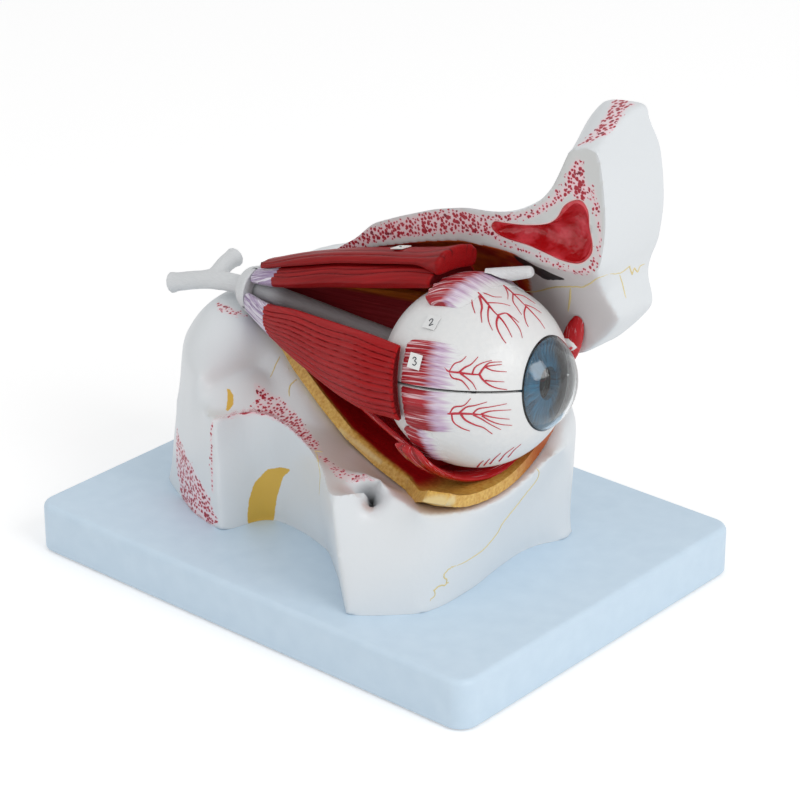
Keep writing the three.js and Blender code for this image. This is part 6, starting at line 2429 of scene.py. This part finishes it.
    def build_vessels(self) -> None:
        """The crimson vessel trees of both halves."""
        for name, trees, body, side in (
            ("upper_vessels", (ABOVE_TEMPLE, ABOVE_FRONT, TEMPLE_UPPER), Body.UPPER, 1),
            ("lower_vessels", (TEMPLE_LOWER, UNDERSIDE), Body.EYEBALL, -1),
        ):
            strokes = []
            for width, dots in (twig for tree in trees for twig in tree.twigs):
                course = self.twig_course(dots)
                course = course[side * course[:, 2] > self.half_gap + 0.5]
                if len(course) > 2:
                    widths = 1.3 * width * np.linspace(1.0, 0.3, len(course))
                    lift = 1 + (0.16 - 0.45 * widths[:, None]) / self.radius
                    strokes.append((self.world(course * lift), widths))
            paint_lines(name, strokes, VESSEL, body, Slot.SCLERA)

    def build(self) -> None:
        """Makes the whole eyeball."""
        self.build_shells()
        self.build_cornea()
        self.build_iris()
        self.build_lens()
        self.build_vitreous()
        self.build_pads()
        self.build_vessels()


# ---------------------------------------------------------------- number stickers

@dataclass
class Sticker:
    """A square number sticker that keeps its node and gets a printed numeral."""

    node: str
    digit: str
    facing: tuple[float, float, float]
    body: Body
    finish: Finish = PAPER
    height: float = 3.2
    line: float = 0.22

    def strokes(self) -> list[Array]:
        """The numeral's strokes in a box of height 1 about the origin."""
        arcs = {
            "1": [[(-0.18, 0.28), (0.04, 0.5), (0.04, -0.5)]],
            "2": [[(-0.28, 0.25), (-0.12, 0.48), (0.16, 0.48), (0.28, 0.24), (0.1, -0.08), (-0.3, -0.5),
                   (0.32, -0.5)]],
            "3": [[(-0.28, 0.34), (0, 0.5), (0.26, 0.28), (0.02, 0.04), (0.3, -0.24), (0, -0.5),
                   (-0.3, -0.34)]],
        }
        return [np.array(row) for row in arcs[self.digit]]

    def build(self) -> None:
        """Dresses the sticker and prints its numeral."""
        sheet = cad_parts[self.node]
        sheet.data.materials.clear()
        sheet.data.materials.append(self.finish.material())
        low, high = (np.array(v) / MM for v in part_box(self.node))
        out = unit(self.facing)
        centre = (low + high) / 2 + out * 0.2
        right = VIEW.basis()[0]
        right = unit(right - out * (right @ out))
        up = np.cross(out, right)
        rows = [ease(row, 5) if len(row) > 3 else row for row in self.strokes()]
        rows = [centre + row @ np.array([right, up]) * self.height for row in rows]
        paint_lines(f"{self.node}_numeral", [(row, np.full(len(row), self.line)) for row in rows], INK,
                    self.body, Slot.LABEL)


# ---------------------------------------------------------------- studio

@dataclass
class Studio:
    """White sweep, soft lamps and the camera."""

    sky: float = 0.68
    key: float = 9.0
    fill: float = 2.0

    def build_floor(self) -> None:
        """A floor that shows white and keeps the model's shadow."""
        size = 6.0
        mesh = bpy.data.meshes.new("floor")
        corners = [(-size, -size, 0), (size, -size, 0), (size, size, 0), (-size, size, 0)]
        mesh.from_pydata(corners, [], [(0, 1, 2, 3)])
        floor = linked("floor", mesh)
        material = bpy.data.materials.new("white_sweep_paper")
        material.use_nodes = True
        tree = material.node_tree
        path = put(tree, "ShaderNodeLightPath", out=None)
        seen = put(tree, MATH, {0: path.outputs["Is Camera Ray"], 1: path.outputs["Is Glossy Ray"]},
                   operation="MAXIMUM")
        seen = put(tree, MATH, {0: seen, 1: path.outputs["Is Transmission Ray"]}, operation="MAXIMUM")
        glow = put(tree, MATH, {0: seen, 1: 0.30}, operation="MULTIPLY")
        feed(tree, tree.nodes["Principled BSDF"], {
            "Base Color": "#F2F2F2", "Roughness": 0.9, "Emission Color": "#FFFFFF", "Emission Strength": glow})
        mesh.materials.append(material)

    def lamp(self, name: str, spot: tuple[float, float, float], size: float, power: float) -> None:
        """A square soft lamp that looks at the model.

        Args:
            name: Its name.
            spot: Where it stands, in metres.
            size: Its side, in metres.
            power: Its power in watts.
        """
        light = bpy.data.lights.new(name, "AREA")
        light.size, light.energy = size, power
        made = linked(name, light)
        made.location = spot
        made.rotation_euler = (Vector((0, 0, 0.08)) - Vector(spot)).to_track_quat("-Z", "Y").to_euler()

    def build(self) -> None:
        """Makes floor, world, lamps and camera."""
        self.build_floor()
        world = bpy.data.worlds.new("studio")
        bpy.context.scene.world = world
        world.use_nodes = True
        tree = world.node_tree
        path = put(tree, "ShaderNodeLightPath", out=None)
        seen = put(tree, MATH, {0: path.outputs["Is Camera Ray"], 1: path.outputs["Is Transmission Ray"]},
                   operation="MAXIMUM")
        level = put(tree, MIX, {0: seen, 2: self.sky, 3: 1.0})
        feed(tree, tree.nodes["Background"], {"Color": "#FFFFFF", "Strength": level})
        self.lamp("key_softbox", (1.45, -0.15, 1.1), 0.95, self.key)
        self.lamp("fill_softbox", (-0.2, -1.4, 1.2), 1.0, self.fill)
        VIEW.build()
        bpy.context.scene.view_settings.view_transform = "Standard"


def main() -> None:
    """Builds the model piece by piece."""
    logging.basicConfig(level=logging.INFO, format="%(name)s %(message)s")
    Stand().build()
    Bones().build()
    Muscles().build()
    Surroundings().build()
    Eyeball().build()
    for sticker in (
        Sticker("number_label_1", "3", (-1.6, -34.1, 16), Body.UPPER),
        Sticker("number_label_2", "2", (-3, -24.1, 28.8), Body.UPPER, SCLERA, 2.8),
        Sticker("number_label_3", "1", (-0.24, 0.1, 1), Body.SUPERIOR),
    ):
        sticker.build()
    Studio().build()


if __name__ == "__main__":
    main()
